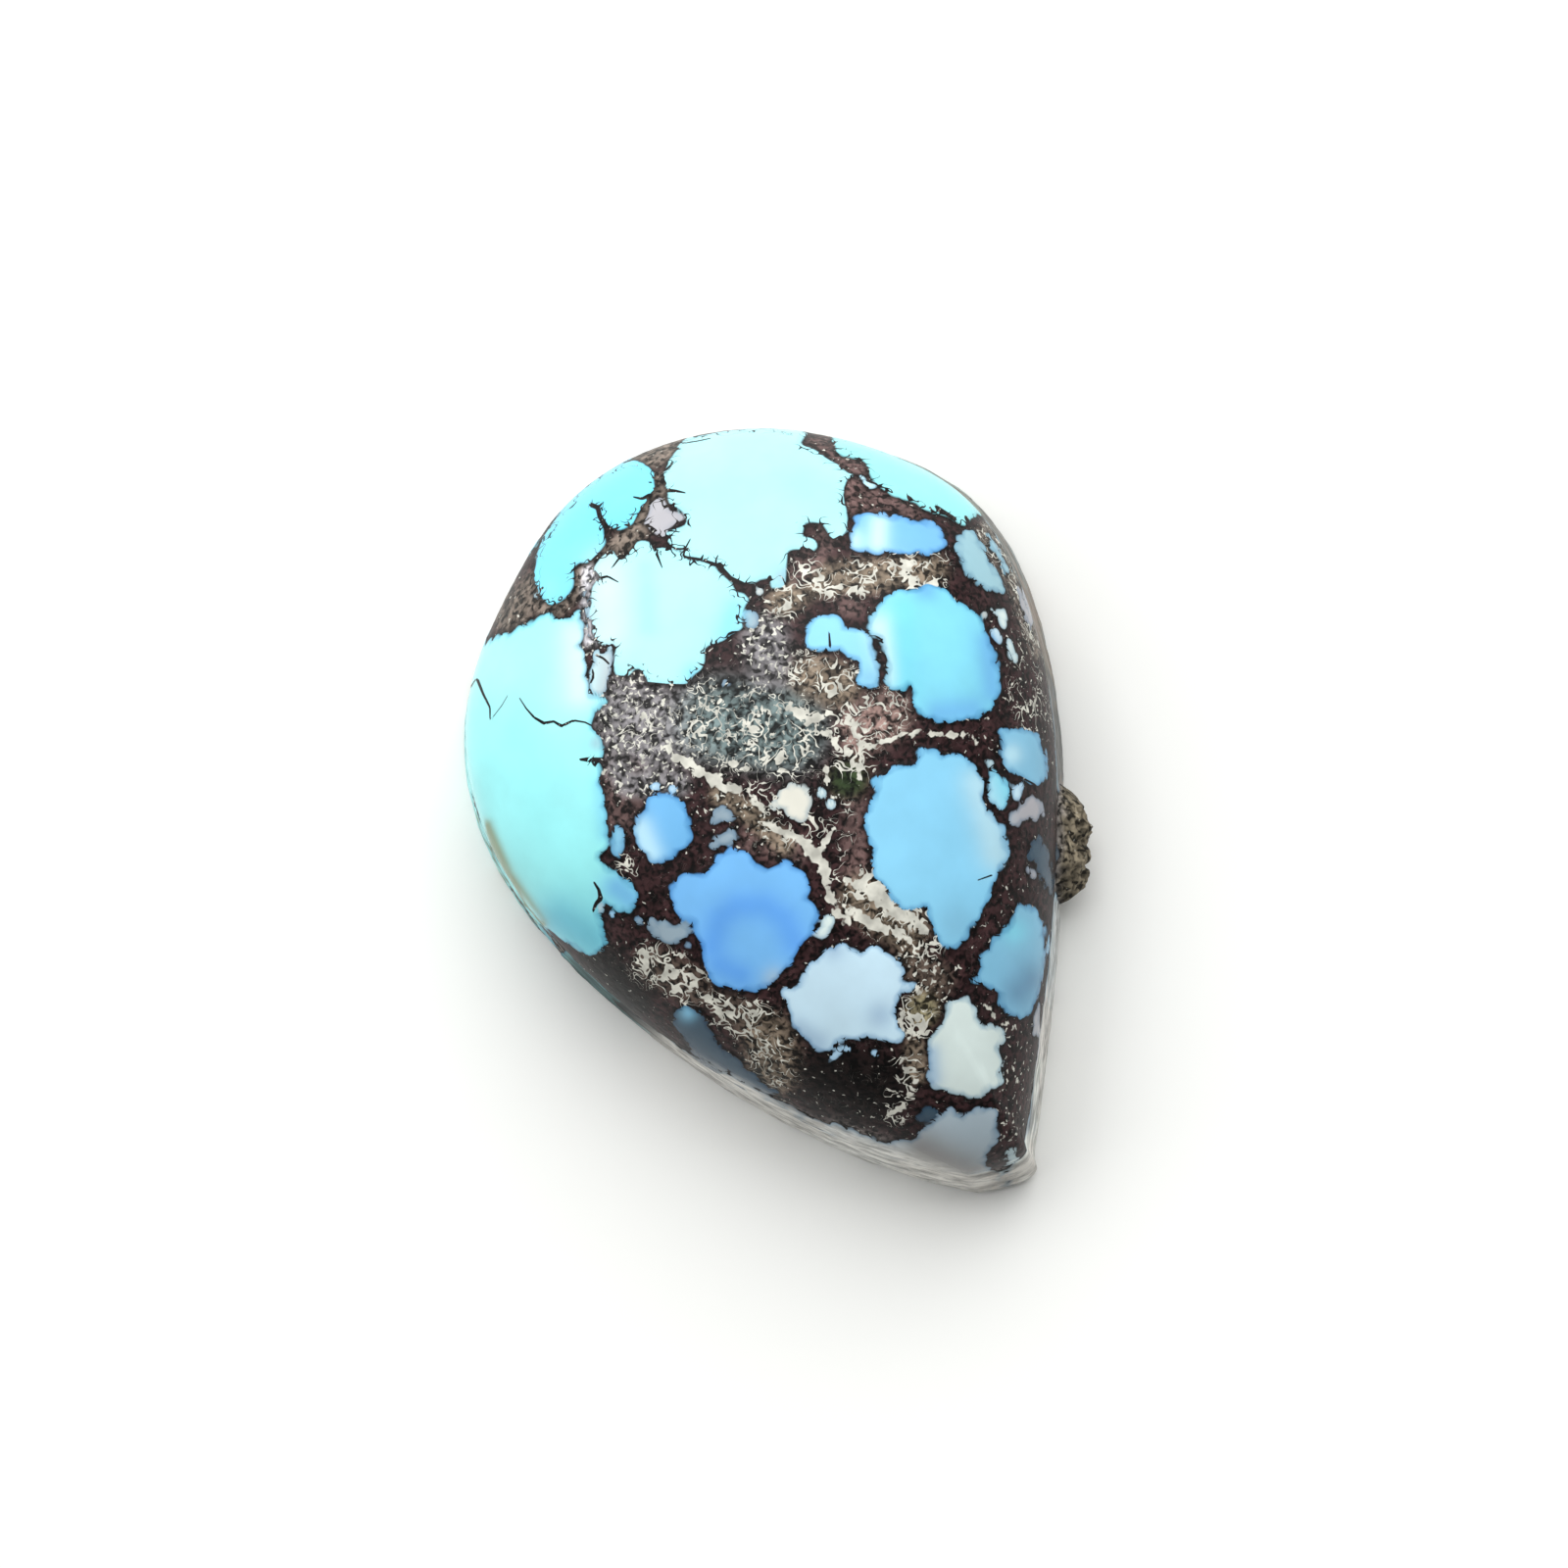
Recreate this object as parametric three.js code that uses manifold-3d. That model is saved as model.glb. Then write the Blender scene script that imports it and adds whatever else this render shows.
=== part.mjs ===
// A polished turquoise stone: pear-shaped in plan, with a domed face, a slightly tapered edge, a flat
// sawn back that it rests on, and a crust of its host rock left on one flank.
// Millimetres, +Z up. The tip points along -Y and the origin is under the middle of the stone.
import * as THREE from "three";
import { mergeVertices } from "three/addons/utils/BufferGeometryUtils.js";
import Module from "manifold-3d";

const { degToRad, euclideanModulo, lerp } = THREE.MathUtils;

// Driving dimensions
const LENGTH = 17;
const HEAD_RADIUS = 6.2;
const HEIGHT = 5.6;

// Heights and plan scales of the edge: the back's chamfer, the tapered wall, the start of the dome
const CHAMFER_HEIGHT = 0.22;
const CHAMFER_SCALE = 0.965;
const WALL_HEIGHT = 1.7;
const WALL_SCALE = 0.966;

// Plan, from the centre of the round head: where each flank leaves the head and how far its curve
// keeps to the head's tangent and to the tip's
const RIGHT_FLANK = { leaves: degToRad(5), headReach: 3.3, tipReach: 4 };
const LEFT_FLANK = { leaves: degToRad(180), headReach: 3, tipReach: 3.9 };

// The blunt tip: its two ends, the corner that its curve is drawn towards, and the way the outline runs
// at each end
const TIP_Y = HEAD_RADIUS - LENGTH;
const TIP_LEFT = new THREE.Vector2(-0.69, TIP_Y + 0.23);
const TIP_RIGHT = new THREE.Vector2(0.68, TIP_Y + 0.29);
const TIP_CORNER = new THREE.Vector2(0.75, TIP_Y - 0.31);
const TIP_LEFT_WAY = degToRad(-38);
const TIP_RIGHT_WAY = degToRad(54);

// Hand grinding left the head fuller on one side and flatter on another
const FULLER_SIDE = { turn: degToRad(17.5), size: 0.25, spread: degToRad(17) };
const FLATTER_SIDE = { turn: degToRad(125), size: -0.27, spread: degToRad(20) };

// The dome's crown, this far from the head's centre towards the tip
const CROWN_DROP = 1.2;

// Facets: points round the rim, how many of them on each side the contours near the crown average over,
// and rings down the dome and the wall
const TURN_STEPS = 120;
const SOFTEN_STEPS = 18;
const DOME_STEPS = 22;
const WALL_STEPS = 3;

// The crust of host rock: an uneven lump with its long side along the right flank, placed from the head's
// centre
const CRUST_SIZE = new THREE.Vector3(0.74, 1.25, 0.72);
const CRUST_ALONG_FLANK = degToRad(-27);
const CRUST_PLACE = new THREE.Vector3(4.12, -5.1, 0.82);
const CRUST_DETAIL = 6;
const CRUST_ROUGHNESS = 0.12;
const CRUST_SWELL = { waves: new THREE.Vector3(3.1, 3.7, 2.7), phase: new THREE.Vector3(1.7, 0.4, 1.6) };
const CRUST_KNOBS = { waves: new THREE.Vector3(4.4, 6.3, 5.2), phase: new THREE.Vector3(0.9, 1.1, 2.2) };

const STONE_COLOUR = 0x78c8e6;
const STONE_ROUGHNESS = 0.22;

const wasm = await Module();
wasm.setup();

// The way at an angle, as a vector of length 1
function wayAt(angle) {
  return new THREE.Vector2(Math.cos(angle), Math.sin(angle));
}

// The point of the head's circle at an angle, and the way the outline runs there
function onHead(angle) {
  return { point: wayAt(angle).multiplyScalar(HEAD_RADIUS), way: wayAt(angle + Math.PI / 2) };
}

// The plan's outline: a round head, two flanks and a blunt tip, seen from above, anticlockwise
function outline() {
  const right = onHead(RIGHT_FLANK.leaves);
  const left = onHead(LEFT_FLANK.leaves);
  const leftHead = left.point.clone().addScaledVector(left.way, LEFT_FLANK.headReach);
  const leftTip = TIP_LEFT.clone().addScaledVector(wayAt(TIP_LEFT_WAY), -LEFT_FLANK.tipReach);
  const rightTip = TIP_RIGHT.clone().addScaledVector(wayAt(TIP_RIGHT_WAY), RIGHT_FLANK.tipReach);
  const rightHead = right.point.clone().addScaledVector(right.way, -RIGHT_FLANK.headReach);
  const shape = new THREE.Shape();
  shape.absarc(0, 0, HEAD_RADIUS, RIGHT_FLANK.leaves, LEFT_FLANK.leaves, false);
  shape.bezierCurveTo(leftHead.x, leftHead.y, leftTip.x, leftTip.y, TIP_LEFT.x, TIP_LEFT.y);
  shape.quadraticCurveTo(TIP_CORNER.x, TIP_CORNER.y, TIP_RIGHT.x, TIP_RIGHT.y);
  shape.bezierCurveTo(rightTip.x, rightTip.y, rightHead.x, rightHead.y, right.point.x, right.point.y);
  return shape;
}

// How far one uneven side of the head stands out at an angle
function standsOut(angle, { turn, size, spread }) {
  return size * Math.exp(-(((angle - turn) / spread) ** 2));
}

// A point of the outline, moved to where the grinding left it
function ground(point) {
  const angle = Math.atan2(point.y, point.x);
  return point.setLength(point.length() + standsOut(angle, FULLER_SIDE) + standsOut(angle, FLATTER_SIDE));
}

// The girdle: equally spaced points of the outline, from the head's centre
const girdle = outline().getSpacedPoints(TURN_STEPS).map(ground);
const planMiddle = new THREE.Box2().setFromPoints(girdle).getCenter(new THREE.Vector2());

// The rim: the same points, as seen from the crown
const crownToHead = new THREE.Vector2(0, CROWN_DROP);
const rim = girdle.map((point) => point.clone().add(crownToHead));

// How much shorter or longer a rounder outline, averaged over the rim's neighbouring points, would be there
const softening = rim.map((point, at) => {
  let sum = 0;
  let weights = 0;
  for (let k = -SOFTEN_STEPS; k <= SOFTEN_STEPS; k++) {
    const weight = 1 + Math.cos((Math.PI * k) / SOFTEN_STEPS);
    sum += weight * rim[euclideanModulo(at + k, TURN_STEPS)].length();
    weights += weight;
  }
  return sum / weights / point.length();
});

// The stone's section from the crown down to the middle of the back: plan scale and height
function section() {
  const dome = Array.from({ length: DOME_STEPS + 1 }, (_, k) => {
    const turn = (k / DOME_STEPS) * (Math.PI / 2);
    const rise = (HEIGHT - WALL_HEIGHT) * Math.cos(turn);
    return new THREE.Vector2(WALL_SCALE * Math.sin(turn), WALL_HEIGHT + rise);
  });
  const wall = Array.from({ length: WALL_STEPS }, (_, k) => {
    const share = (k + 1) / WALL_STEPS;
    return new THREE.Vector2(
      lerp(WALL_SCALE, 1, share),
      lerp(WALL_HEIGHT, CHAMFER_HEIGHT, share),
    );
  });
  return [...dome, ...wall, new THREE.Vector2(CHAMFER_SCALE, 0), new THREE.Vector2(0, 0)];
}

// The cut stone: its section turned into a round solid, whose rings then take the plan's outline,
// rounded off towards the crown
function cutStone() {
  const profile = section().reverse();
  const geometry = new THREE.LatheGeometry(profile, TURN_STEPS).rotateX(Math.PI / 2);
  const place = geometry.getAttribute("position");
  for (let i = 0; i < place.count; i++) {
    const scale = profile[i % profile.length].x;
    const meridian = Math.floor(i / profile.length) % TURN_STEPS;
    const reach = scale * lerp(softening[meridian], 1, scale ** 3);
    place.setXY(i, reach * rim[meridian].x, reach * rim[meridian].y - CROWN_DROP);
  }
  return geometry;
}

// Three crossed waves, between -1 and 1
function crossedWaves(point, { waves, phase }) {
  const turn = point.clone().multiply(waves).add(phase);
  return Math.sin(turn.x) * Math.sin(turn.y) * Math.sin(turn.z);
}

// The crust: an uneven lump, whose swell and knobs come from crossed waves
function crust() {
  const geometry = new THREE.IcosahedronGeometry(1, CRUST_DETAIL);
  const place = geometry.getAttribute("position");
  const point = new THREE.Vector3();
  for (let i = 0; i < place.count; i++) {
    point.fromBufferAttribute(place, i);
    const bumps = crossedWaves(point, CRUST_SWELL) + crossedWaves(point, CRUST_KNOBS);
    point.multiplyScalar(1 + CRUST_ROUGHNESS * bumps);
    place.setXYZ(i, point.x, point.y, point.z);
  }
  return geometry
    .scale(CRUST_SIZE.x, CRUST_SIZE.y, CRUST_SIZE.z)
    .rotateZ(CRUST_ALONG_FLANK)
    .translate(CRUST_PLACE.x, CRUST_PLACE.y, CRUST_PLACE.z);
}

function solidOf(geometry) {
  geometry.deleteAttribute("normal");
  geometry.deleteAttribute("uv");
  const merged = mergeVertices(geometry);
  return new wasm.Manifold(
    new wasm.Mesh({
      numProp: 3,
      vertProperties: merged.getAttribute("position").array,
      triVerts: new Uint32Array(merged.index.array),
    }),
  );
}

function geometryOf(solid) {
  const { vertProperties, triVerts } = solid.getMesh();
  const geometry = new THREE.BufferGeometry();
  geometry.setAttribute("position", new THREE.BufferAttribute(vertProperties, 3));
  geometry.setIndex(new THREE.BufferAttribute(triVerts, 1));
  geometry.computeVertexNormals();
  return geometry;
}

// The stone with its crust, moved so that the plan's middle is over the origin
const stone = new THREE.Mesh(
  geometryOf(solidOf(cutStone()).add(solidOf(crust()))).translate(-planMiddle.x, -planMiddle.y, 0),
  new THREE.MeshStandardMaterial({ color: STONE_COLOUR, roughness: STONE_ROUGHNESS, metalness: 0 }),
);
stone.name = "turquoise_stone";

const part = new THREE.Group();
part.add(stone);

export default part;
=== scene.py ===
"""The looks of a polished turquoise stone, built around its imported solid."""

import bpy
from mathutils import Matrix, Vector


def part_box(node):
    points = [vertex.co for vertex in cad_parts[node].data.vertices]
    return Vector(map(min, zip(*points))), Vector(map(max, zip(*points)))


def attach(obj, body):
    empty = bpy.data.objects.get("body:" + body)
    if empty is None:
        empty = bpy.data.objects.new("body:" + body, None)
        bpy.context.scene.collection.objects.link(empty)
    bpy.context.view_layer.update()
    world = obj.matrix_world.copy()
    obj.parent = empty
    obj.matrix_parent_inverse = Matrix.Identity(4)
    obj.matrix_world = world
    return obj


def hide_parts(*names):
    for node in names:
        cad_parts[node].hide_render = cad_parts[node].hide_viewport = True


bl_info = {
    "name": "Turquoise stone",
    "version": (1, 0, 0),
    "blender": (4, 5, 0),
    "location": "3D View > Sidebar > Stone",
    "description": "Models a pear-shaped polished turquoise with its web of matrix, and a studio stage for it",
    "category": "Add Mesh",
}

import math
from typing import NamedTuple

import bmesh
import bpy
import numpy as np
from mathutils import Matrix, Vector, noise
from mathutils.geometry import interpolate_bezier

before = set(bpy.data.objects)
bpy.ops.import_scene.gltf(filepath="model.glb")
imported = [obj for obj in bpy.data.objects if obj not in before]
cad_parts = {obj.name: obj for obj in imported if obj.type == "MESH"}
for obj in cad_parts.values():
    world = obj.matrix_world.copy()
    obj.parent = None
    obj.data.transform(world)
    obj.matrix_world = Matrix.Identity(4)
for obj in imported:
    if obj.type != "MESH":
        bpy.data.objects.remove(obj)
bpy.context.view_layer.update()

NODE = "turquoise_stone"
MM = 0.001

# The solid's box gives the driving sizes
stone_low, stone_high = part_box(NODE)
stone_size = stone_high - stone_low
HEAD_SHARE = 0.495

# Photograph: its size, its scale at the stone, the pixel of the round head's centre, and how it was taken
IMAGE_PIXELS = 1600
MM_PER_PIXEL = 0.0203
HEAD_PIXEL = (775.5, 740.5)
LENS = 100.0
SENSOR = 36.0
CAMERA_ELEVATION = math.radians(84.0)
CAMERA_ROLL = math.radians(28.7)

# Plan: where each flank leaves the round head, and how far in millimetres its curve keeps to the head's
# tangent and to the tip's
RIGHT_LEAVES = math.radians(5.0)
LEFT_LEAVES = math.radians(180.0)
RIGHT_REACHES = (3.3, 4.0)
LEFT_REACHES = (3.0, 3.9)

# The blunt tip, in millimetres from its end: its two sides, the corner that its curve is drawn towards, and
# the way the outline runs at each side
TIP_LEFT = (-0.69, 0.23)
TIP_RIGHT = (0.68, 0.29)
TIP_CORNER = (0.75, -0.31)
TIP_LEFT_WAY = math.radians(-38.0)
TIP_RIGHT_WAY = math.radians(54.0)

# Where hand grinding left the head fuller and flatter: angle, size in millimetres and spread
UNEVEN_SIDES = (
    (math.radians(17.5), 0.25, math.radians(17.0)),
    (math.radians(125.0), -0.27, math.radians(20.0)),
)

# Plan scales of the wall's top and of the back, and how far round the rim the crown's contours average
WALL_SCALE = 0.966
CHAMFER_SCALE = 0.965
SOFTEN_SHARE = 0.15

# The crust of host rock, in millimetres from the head's centre
CRUST_SIZE = (0.74, 1.25, 0.72)
CRUST_PLACE = (4.12, -5.1, 0.82)
CRUST_ALONG_FLANK = math.radians(27.0)
CRUST_SKIN = 0.12

# Mesh: faces across and along the dome, rings down the wall, over the chamfer and in to the back's middle,
# and points round the rim
DOME_FACES = (236, 324)
WALL_RINGS = 12
CHAMFER_RINGS = 2
BACK_RINGS = 4
RIM_POINTS = 1200

# The dome's steep foot, below this height in millimetres, where the pattern runs on downwards and wanders by
# so many pixels for each millimetre, and the ground edge's tints by fewer
FOOT_HEIGHT = 2.6
FOOT_DRIFT = 22.0
EDGE_DRIFT = 3.0

# Sizes of the grain in millimetres
LOBE_SIZE = 0.26
SPUR_SIZE = 0.3
CLOUD_SIZE = 1.1
MOTTLE_SIZE = 0.4
GRAIN_SIZE = 0.13
SALT_SIZE = 0.1
WORM_SIZE = 0.24
CLUMP_SIZE = 0.5
RAGGED_SIZE = 0.14
SHADE_SIZE = 0.3
STREAK_SIZE = 0.7
PIT_SIZE = 0.08
BOARD_TOOTH_SIZE = 1.5

# Brush strokes: how firmly they end, a higher value giving a firmer edge, and how much they cover
SOFT_EDGE = 2
FIRM_EDGE = 4
TINT_STRENGTH = 0.85
WEB_STRENGTH = 0.95


class Style(NamedTuple):
    """How a patch ends: size of its lobes and length of the web's spurs in millimetres, and a darker rim."""

    lobes: float
    spurs: float
    rim: float


class Patch(NamedTuple):
    """A patch of turquoise: its tone, how it ends, and its outline in the photograph's pixels."""

    tone: str
    style: Style
    outline: tuple


class Bead(NamedTuple):
    """Small round patches of one tone: their radius and their places in the photograph's pixels."""

    tone: str
    radius: float
    places: tuple


class Stroke(NamedTuple):
    """A soft brush stroke: a tone or a strength, its half width and its path in the photograph's pixels."""

    value: object
    reach: float
    path: tuple


RUGGED = Style(0.16, 0.08, 0.6)
SCALLOPED = Style(0.13, 0.06, 0.7)
SPIKY = Style(0.05, 0.24, 0.2)

# Patches of turquoise, clockwise from the top of the head
PATCHES = (
    Patch("milk_aqua", SPIKY, (
        (700, 446), (740, 438), (790, 434), (822, 441), (817, 451), (838, 462), (860, 478), (871, 484),
        (863, 492), (860, 505), (865, 530), (861, 545), (850, 550), (842, 541), (836, 533), (822, 534),
        (819, 546), (832, 551), (832, 560), (818, 562), (805, 563), (803, 578), (800, 597), (788, 599),
        (783, 589), (768, 594), (755, 596), (743, 586), (731, 576), (716, 570), (699, 567), (698, 561),
        (685, 557), (680, 545), (690, 539), (700, 531), (694, 520), (682, 513), (681, 500), (677, 490),
        (680, 474), (690, 460))),
    Patch("rim_aqua", SPIKY, (
        (852, 443), (900, 452), (955, 474), (1000, 498), (1010, 518), (992, 528), (984, 537), (966, 528),
        (945, 520), (930, 513), (912, 506), (898, 497), (886, 482), (880, 469), (866, 466), (854, 460))),
    Patch("milk", RUGGED, ((880, 487), (888, 491), (897, 498), (888, 498), (881, 494))),
    Patch("lozenge_blue", SCALLOPED, (
        (870, 540), (873, 525), (885, 522), (905, 524), (922, 527), (940, 530), (955, 535), (964, 545),
        (967, 557), (955, 563), (940, 566), (920, 566), (905, 564), (890, 565), (872, 564), (864, 560),
        (866, 548))),
    Patch("pale_steel", RUGGED, (
        (975, 555), (978, 545), (990, 540), (1000, 550), (1006, 562), (1013, 575), (1022, 590), (1027, 603),
        (1014, 604), (1000, 598), (988, 588), (980, 575))),
    Patch("pale_steel", RUGGED, (
        (1008, 545), (1014, 548), (1024, 568), (1030, 582), (1024, 584), (1014, 566))),
    Patch("clay", RUGGED, ((1036, 600), (1046, 602), (1056, 622), (1060, 640), (1052, 640), (1042, 620))),
    Patch("sky", SCALLOPED, (
        (884, 640), (890, 625), (897, 613), (910, 604), (930, 600), (945, 597), (962, 598), (970, 605),
        (980, 615), (995, 622), (1002, 632), (1010, 650), (1016, 668), (1020, 682), (1022, 700), (1018, 715),
        (1012, 725), (1000, 730), (985, 735), (968, 738), (950, 733), (938, 728), (931, 718), (930, 700),
        (920, 705), (908, 703), (903, 690), (905, 670), (898, 655), (888, 648))),
    Patch("clear_blue", SCALLOPED, (
        (820, 655), (822, 638), (832, 628), (848, 625), (858, 632), (866, 640), (880, 642), (888, 650),
        (890, 660), (895, 672), (897, 690), (896, 702), (885, 703), (876, 697), (875, 680), (865, 668),
        (850, 664), (835, 665), (824, 663))),
    Patch("pearl", RUGGED, ((1012, 622), (1024, 621), (1028, 632), (1026, 640), (1020, 638), (1014, 630))),
    Patch("pearl", RUGGED, ((1011, 645), (1018, 642), (1023, 652), (1021, 660), (1013, 654))),
    Patch("pearl", RUGGED, (
        (1026, 650), (1032, 650), (1034, 660), (1040, 668), (1036, 676), (1030, 670), (1026, 662))),
    Patch("steel", SCALLOPED, (
        (1020, 745), (1040, 742), (1058, 747), (1064, 760), (1070, 778), (1068, 792), (1062, 802),
        (1050, 800), (1040, 795), (1028, 785), (1020, 770), (1022, 755))),
    Patch("sky", RUGGED, (
        (1008, 800), (1010, 788), (1018, 785), (1026, 795), (1031, 805), (1030, 820), (1022, 828),
        (1014, 822), (1008, 812))),
    Patch("pale_blue", RUGGED, ((1034, 798), (1045, 797), (1046, 805), (1040, 815), (1033, 817), (1030, 805))),
    Patch("clay", RUGGED, (
        (1028, 832), (1036, 823), (1050, 812), (1060, 815), (1065, 830), (1058, 838), (1047, 838),
        (1040, 842), (1030, 842))),
    Patch("clear_blue", SCALLOPED, (
        (893, 793), (905, 786), (920, 780), (935, 777), (937, 763), (948, 763), (958, 768), (965, 770),
        (975, 767), (985, 772), (993, 780), (998, 788), (1004, 795), (1004, 810), (1007, 820), (1013, 832),
        (1020, 838), (1026, 845), (1028, 862), (1031, 872), (1027, 882), (1020, 890), (1018, 900),
        (1012, 908), (1010, 920), (1003, 930), (997, 942), (990, 950), (985, 960), (975, 966), (962, 966),
        (955, 955), (950, 945), (946, 932), (944, 925), (935, 928), (925, 930), (915, 922), (905, 912),
        (898, 902), (890, 895), (888, 880), (889, 865), (886, 855), (880, 840), (883, 828), (890, 815))),
    Patch("slate_blue", RUGGED, (
        (1055, 855), (1062, 855), (1070, 868), (1073, 885), (1075, 900), (1072, 910), (1066, 902),
        (1058, 890), (1050, 875), (1050, 865))),
    Patch("clay", RUGGED, ((1047, 884), (1054, 884), (1058, 894), (1051, 895))),
    Patch("steel", SCALLOPED, (
        (1040, 922), (1056, 926), (1064, 940), (1068, 960), (1068, 985), (1064, 1005), (1058, 1025),
        (1052, 1035), (1040, 1040), (1028, 1036), (1020, 1025), (1018, 1015), (1008, 1010), (990, 1003),
        (993, 997), (1000, 988), (1000, 975), (1008, 965), (1020, 952), (1030, 942), (1034, 930))),
    Patch("clay", RUGGED, ((1056, 1030), (1064, 1026), (1066, 1045), (1060, 1058), (1054, 1050))),
    Patch("pearl", SCALLOPED, (
        (967, 1020), (985, 1018), (995, 1027), (1000, 1040), (1004, 1046), (1015, 1046), (1025, 1052),
        (1027, 1060), (1020, 1070), (1026, 1080), (1025, 1088), (1020, 1095), (1024, 1102), (1018, 1110),
        (1008, 1112), (1004, 1120), (992, 1122), (980, 1118), (970, 1116), (960, 1112), (950, 1108),
        (946, 1095), (948, 1080), (946, 1065), (952, 1052), (960, 1042), (964, 1030))),
    Patch("tip_grey", SCALLOPED, (
        (945, 1150), (952, 1142), (960, 1135), (970, 1131), (978, 1136), (985, 1138), (995, 1132),
        (1005, 1130), (1018, 1132), (1020, 1140), (1018, 1160), (1012, 1172), (1005, 1180), (1000, 1190),
        (1000, 1205), (985, 1225), (940, 1215), (900, 1195), (890, 1175), (905, 1165), (925, 1163),
        (935, 1158))),
    Patch("slate_blue", RUGGED, ((936, 1145), (940, 1133), (952, 1130), (958, 1138), (950, 1147))),
    Patch("taupe", RUGGED, (
        (1008, 1192), (1020, 1186), (1038, 1184), (1042, 1195), (1030, 1208), (1005, 1218), (990, 1225))),
    Patch("pearl", RUGGED, ((1022, 1180), (1028, 1174), (1036, 1170), (1037, 1178), (1028, 1183))),
    Patch("pale_blue", SCALLOPED, (
        (797, 1012), (808, 1006), (818, 998), (822, 990), (830, 980), (838, 972), (848, 966), (860, 962),
        (868, 967), (880, 970), (893, 965), (903, 968), (912, 975), (922, 985), (926, 992), (922, 998),
        (932, 1003), (932, 1010), (920, 1014), (917, 1025), (914, 1035), (918, 1045), (922, 1055),
        (920, 1062), (912, 1066), (900, 1062), (885, 1060), (868, 1062), (855, 1066), (848, 1074),
        (835, 1073), (825, 1068), (817, 1055), (808, 1047), (805, 1038), (803, 1028), (800, 1022))),
    Patch("pale_blue", RUGGED, ((845, 1078), (850, 1074), (856, 1068), (858, 1075), (852, 1084), (845, 1083))),
    Patch("slate_blue", RUGGED, (
        (685, 1038), (690, 1030), (705, 1027), (718, 1032), (725, 1042), (728, 1055), (735, 1068),
        (748, 1075), (758, 1085), (768, 1095), (780, 1106), (795, 1115), (780, 1116), (760, 1107),
        (735, 1093), (715, 1080), (700, 1065), (690, 1050))),
    Patch("deep_blue", SCALLOPED, (
        (683, 905), (690, 895), (700, 888), (712, 890), (722, 887), (728, 878), (735, 870), (748, 866),
        (760, 868), (768, 876), (776, 882), (783, 885), (790, 880), (800, 875), (808, 880), (815, 888),
        (823, 893), (826, 905), (824, 915), (830, 922), (837, 932), (833, 945), (828, 955), (822, 962),
        (815, 970), (808, 985), (800, 990), (795, 998), (785, 1005), (772, 1010), (755, 1013), (742, 1010),
        (732, 1008), (725, 998), (718, 985), (716, 975), (712, 962), (708, 948), (703, 940), (692, 938),
        (688, 925), (684, 915))),
    Patch("soft_blue", SCALLOPED, (
        (660, 815), (668, 808), (680, 810), (692, 812), (698, 822), (704, 835), (706, 850), (702, 865),
        (690, 872), (678, 880), (668, 881), (658, 872), (650, 862), (647, 848), (648, 838), (655, 828))),
    Patch("steel", RUGGED, (
        (625, 842), (632, 840), (638, 848), (639, 862), (635, 876), (626, 875), (621, 860))),
    Patch("ash", RUGGED, (
        (660, 945), (665, 938), (675, 940), (685, 942), (695, 940), (705, 948), (703, 956), (695, 960),
        (688, 965), (676, 962), (668, 955))),
    Patch("ash", RUGGED, ((725, 830), (735, 822), (745, 828), (748, 838), (738, 842), (727, 840))),
    Patch("ash", RUGGED, ((722, 862), (735, 850), (745, 843), (755, 850), (755, 858), (740, 862), (728, 866))),
    Patch("ivory", RUGGED, (
        (785, 820), (795, 808), (802, 802), (812, 800), (824, 803), (830, 812), (826, 822), (826, 832),
        (818, 838), (808, 837), (800, 826), (790, 824))),
    Patch("pearl", RUGGED, (
        (830, 955), (836, 945), (842, 936), (850, 934), (853, 942), (847, 952), (838, 958))),
    Patch("bright_aqua", SCALLOPED, (
        (520, 645), (525, 640), (535, 636), (545, 632), (552, 626), (560, 624), (566, 628), (575, 630),
        (585, 625), (592, 622), (594, 632), (597, 640), (596, 655), (592, 660), (597, 668), (600, 680),
        (599, 695), (603, 706), (612, 710), (620, 715), (612, 722), (606, 730), (604, 738), (608, 745),
        (614, 752), (616, 765), (614, 775), (613, 785), (614, 800), (617, 812), (618, 825), (620, 838),
        (621, 855), (620, 868), (612, 874), (614, 880), (622, 885), (632, 887), (637, 893), (642, 900),
        (650, 908), (652, 916), (648, 926), (640, 931), (630, 930), (622, 925), (613, 921), (612, 930),
        (614, 940), (617, 950), (618, 965), (610, 972), (598, 975), (580, 965), (555, 955), (520, 935),
        (480, 880), (455, 800), (455, 720), (470, 680), (500, 652))),
    Patch("milk_aqua", SPIKY, (
        (610, 572), (618, 563), (625, 562), (632, 570), (640, 566), (648, 555), (655, 552), (662, 553),
        (667, 560), (676, 558), (690, 562), (697, 566), (698, 570), (712, 572), (722, 574), (730, 580),
        (740, 589), (747, 596), (752, 602), (760, 605), (764, 612), (760, 620), (757, 630), (758, 640),
        (750, 646), (742, 650), (732, 656), (722, 660), (719, 668), (716, 682), (708, 690), (702, 697),
        (690, 699), (675, 698), (662, 699), (658, 692), (652, 684), (645, 685), (640, 690), (628, 688),
        (626, 675), (627, 662), (622, 657), (612, 658), (605, 650), (603, 638), (602, 625), (603, 612),
        (604, 600), (608, 590), (606, 580))),
    Patch("sky_aqua", SPIKY, (
        (640, 470), (655, 472), (666, 482), (668, 494), (664, 505), (658, 515), (650, 527), (643, 536),
        (632, 540), (622, 537), (616, 530), (612, 520), (609, 516), (611, 527), (615, 537), (618, 545),
        (618, 556), (612, 563), (604, 572), (596, 574), (588, 576), (585, 582), (586, 592), (582, 602),
        (577, 610), (568, 616), (558, 616), (553, 608), (548, 600), (544, 590), (546, 575), (550, 556),
        (560, 536), (573, 518), (590, 500), (610, 484))),
    Patch("clay", SPIKY, (
        (664, 510), (672, 508), (680, 512), (684, 520), (690, 522), (697, 525), (699, 531), (690, 535),
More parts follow.
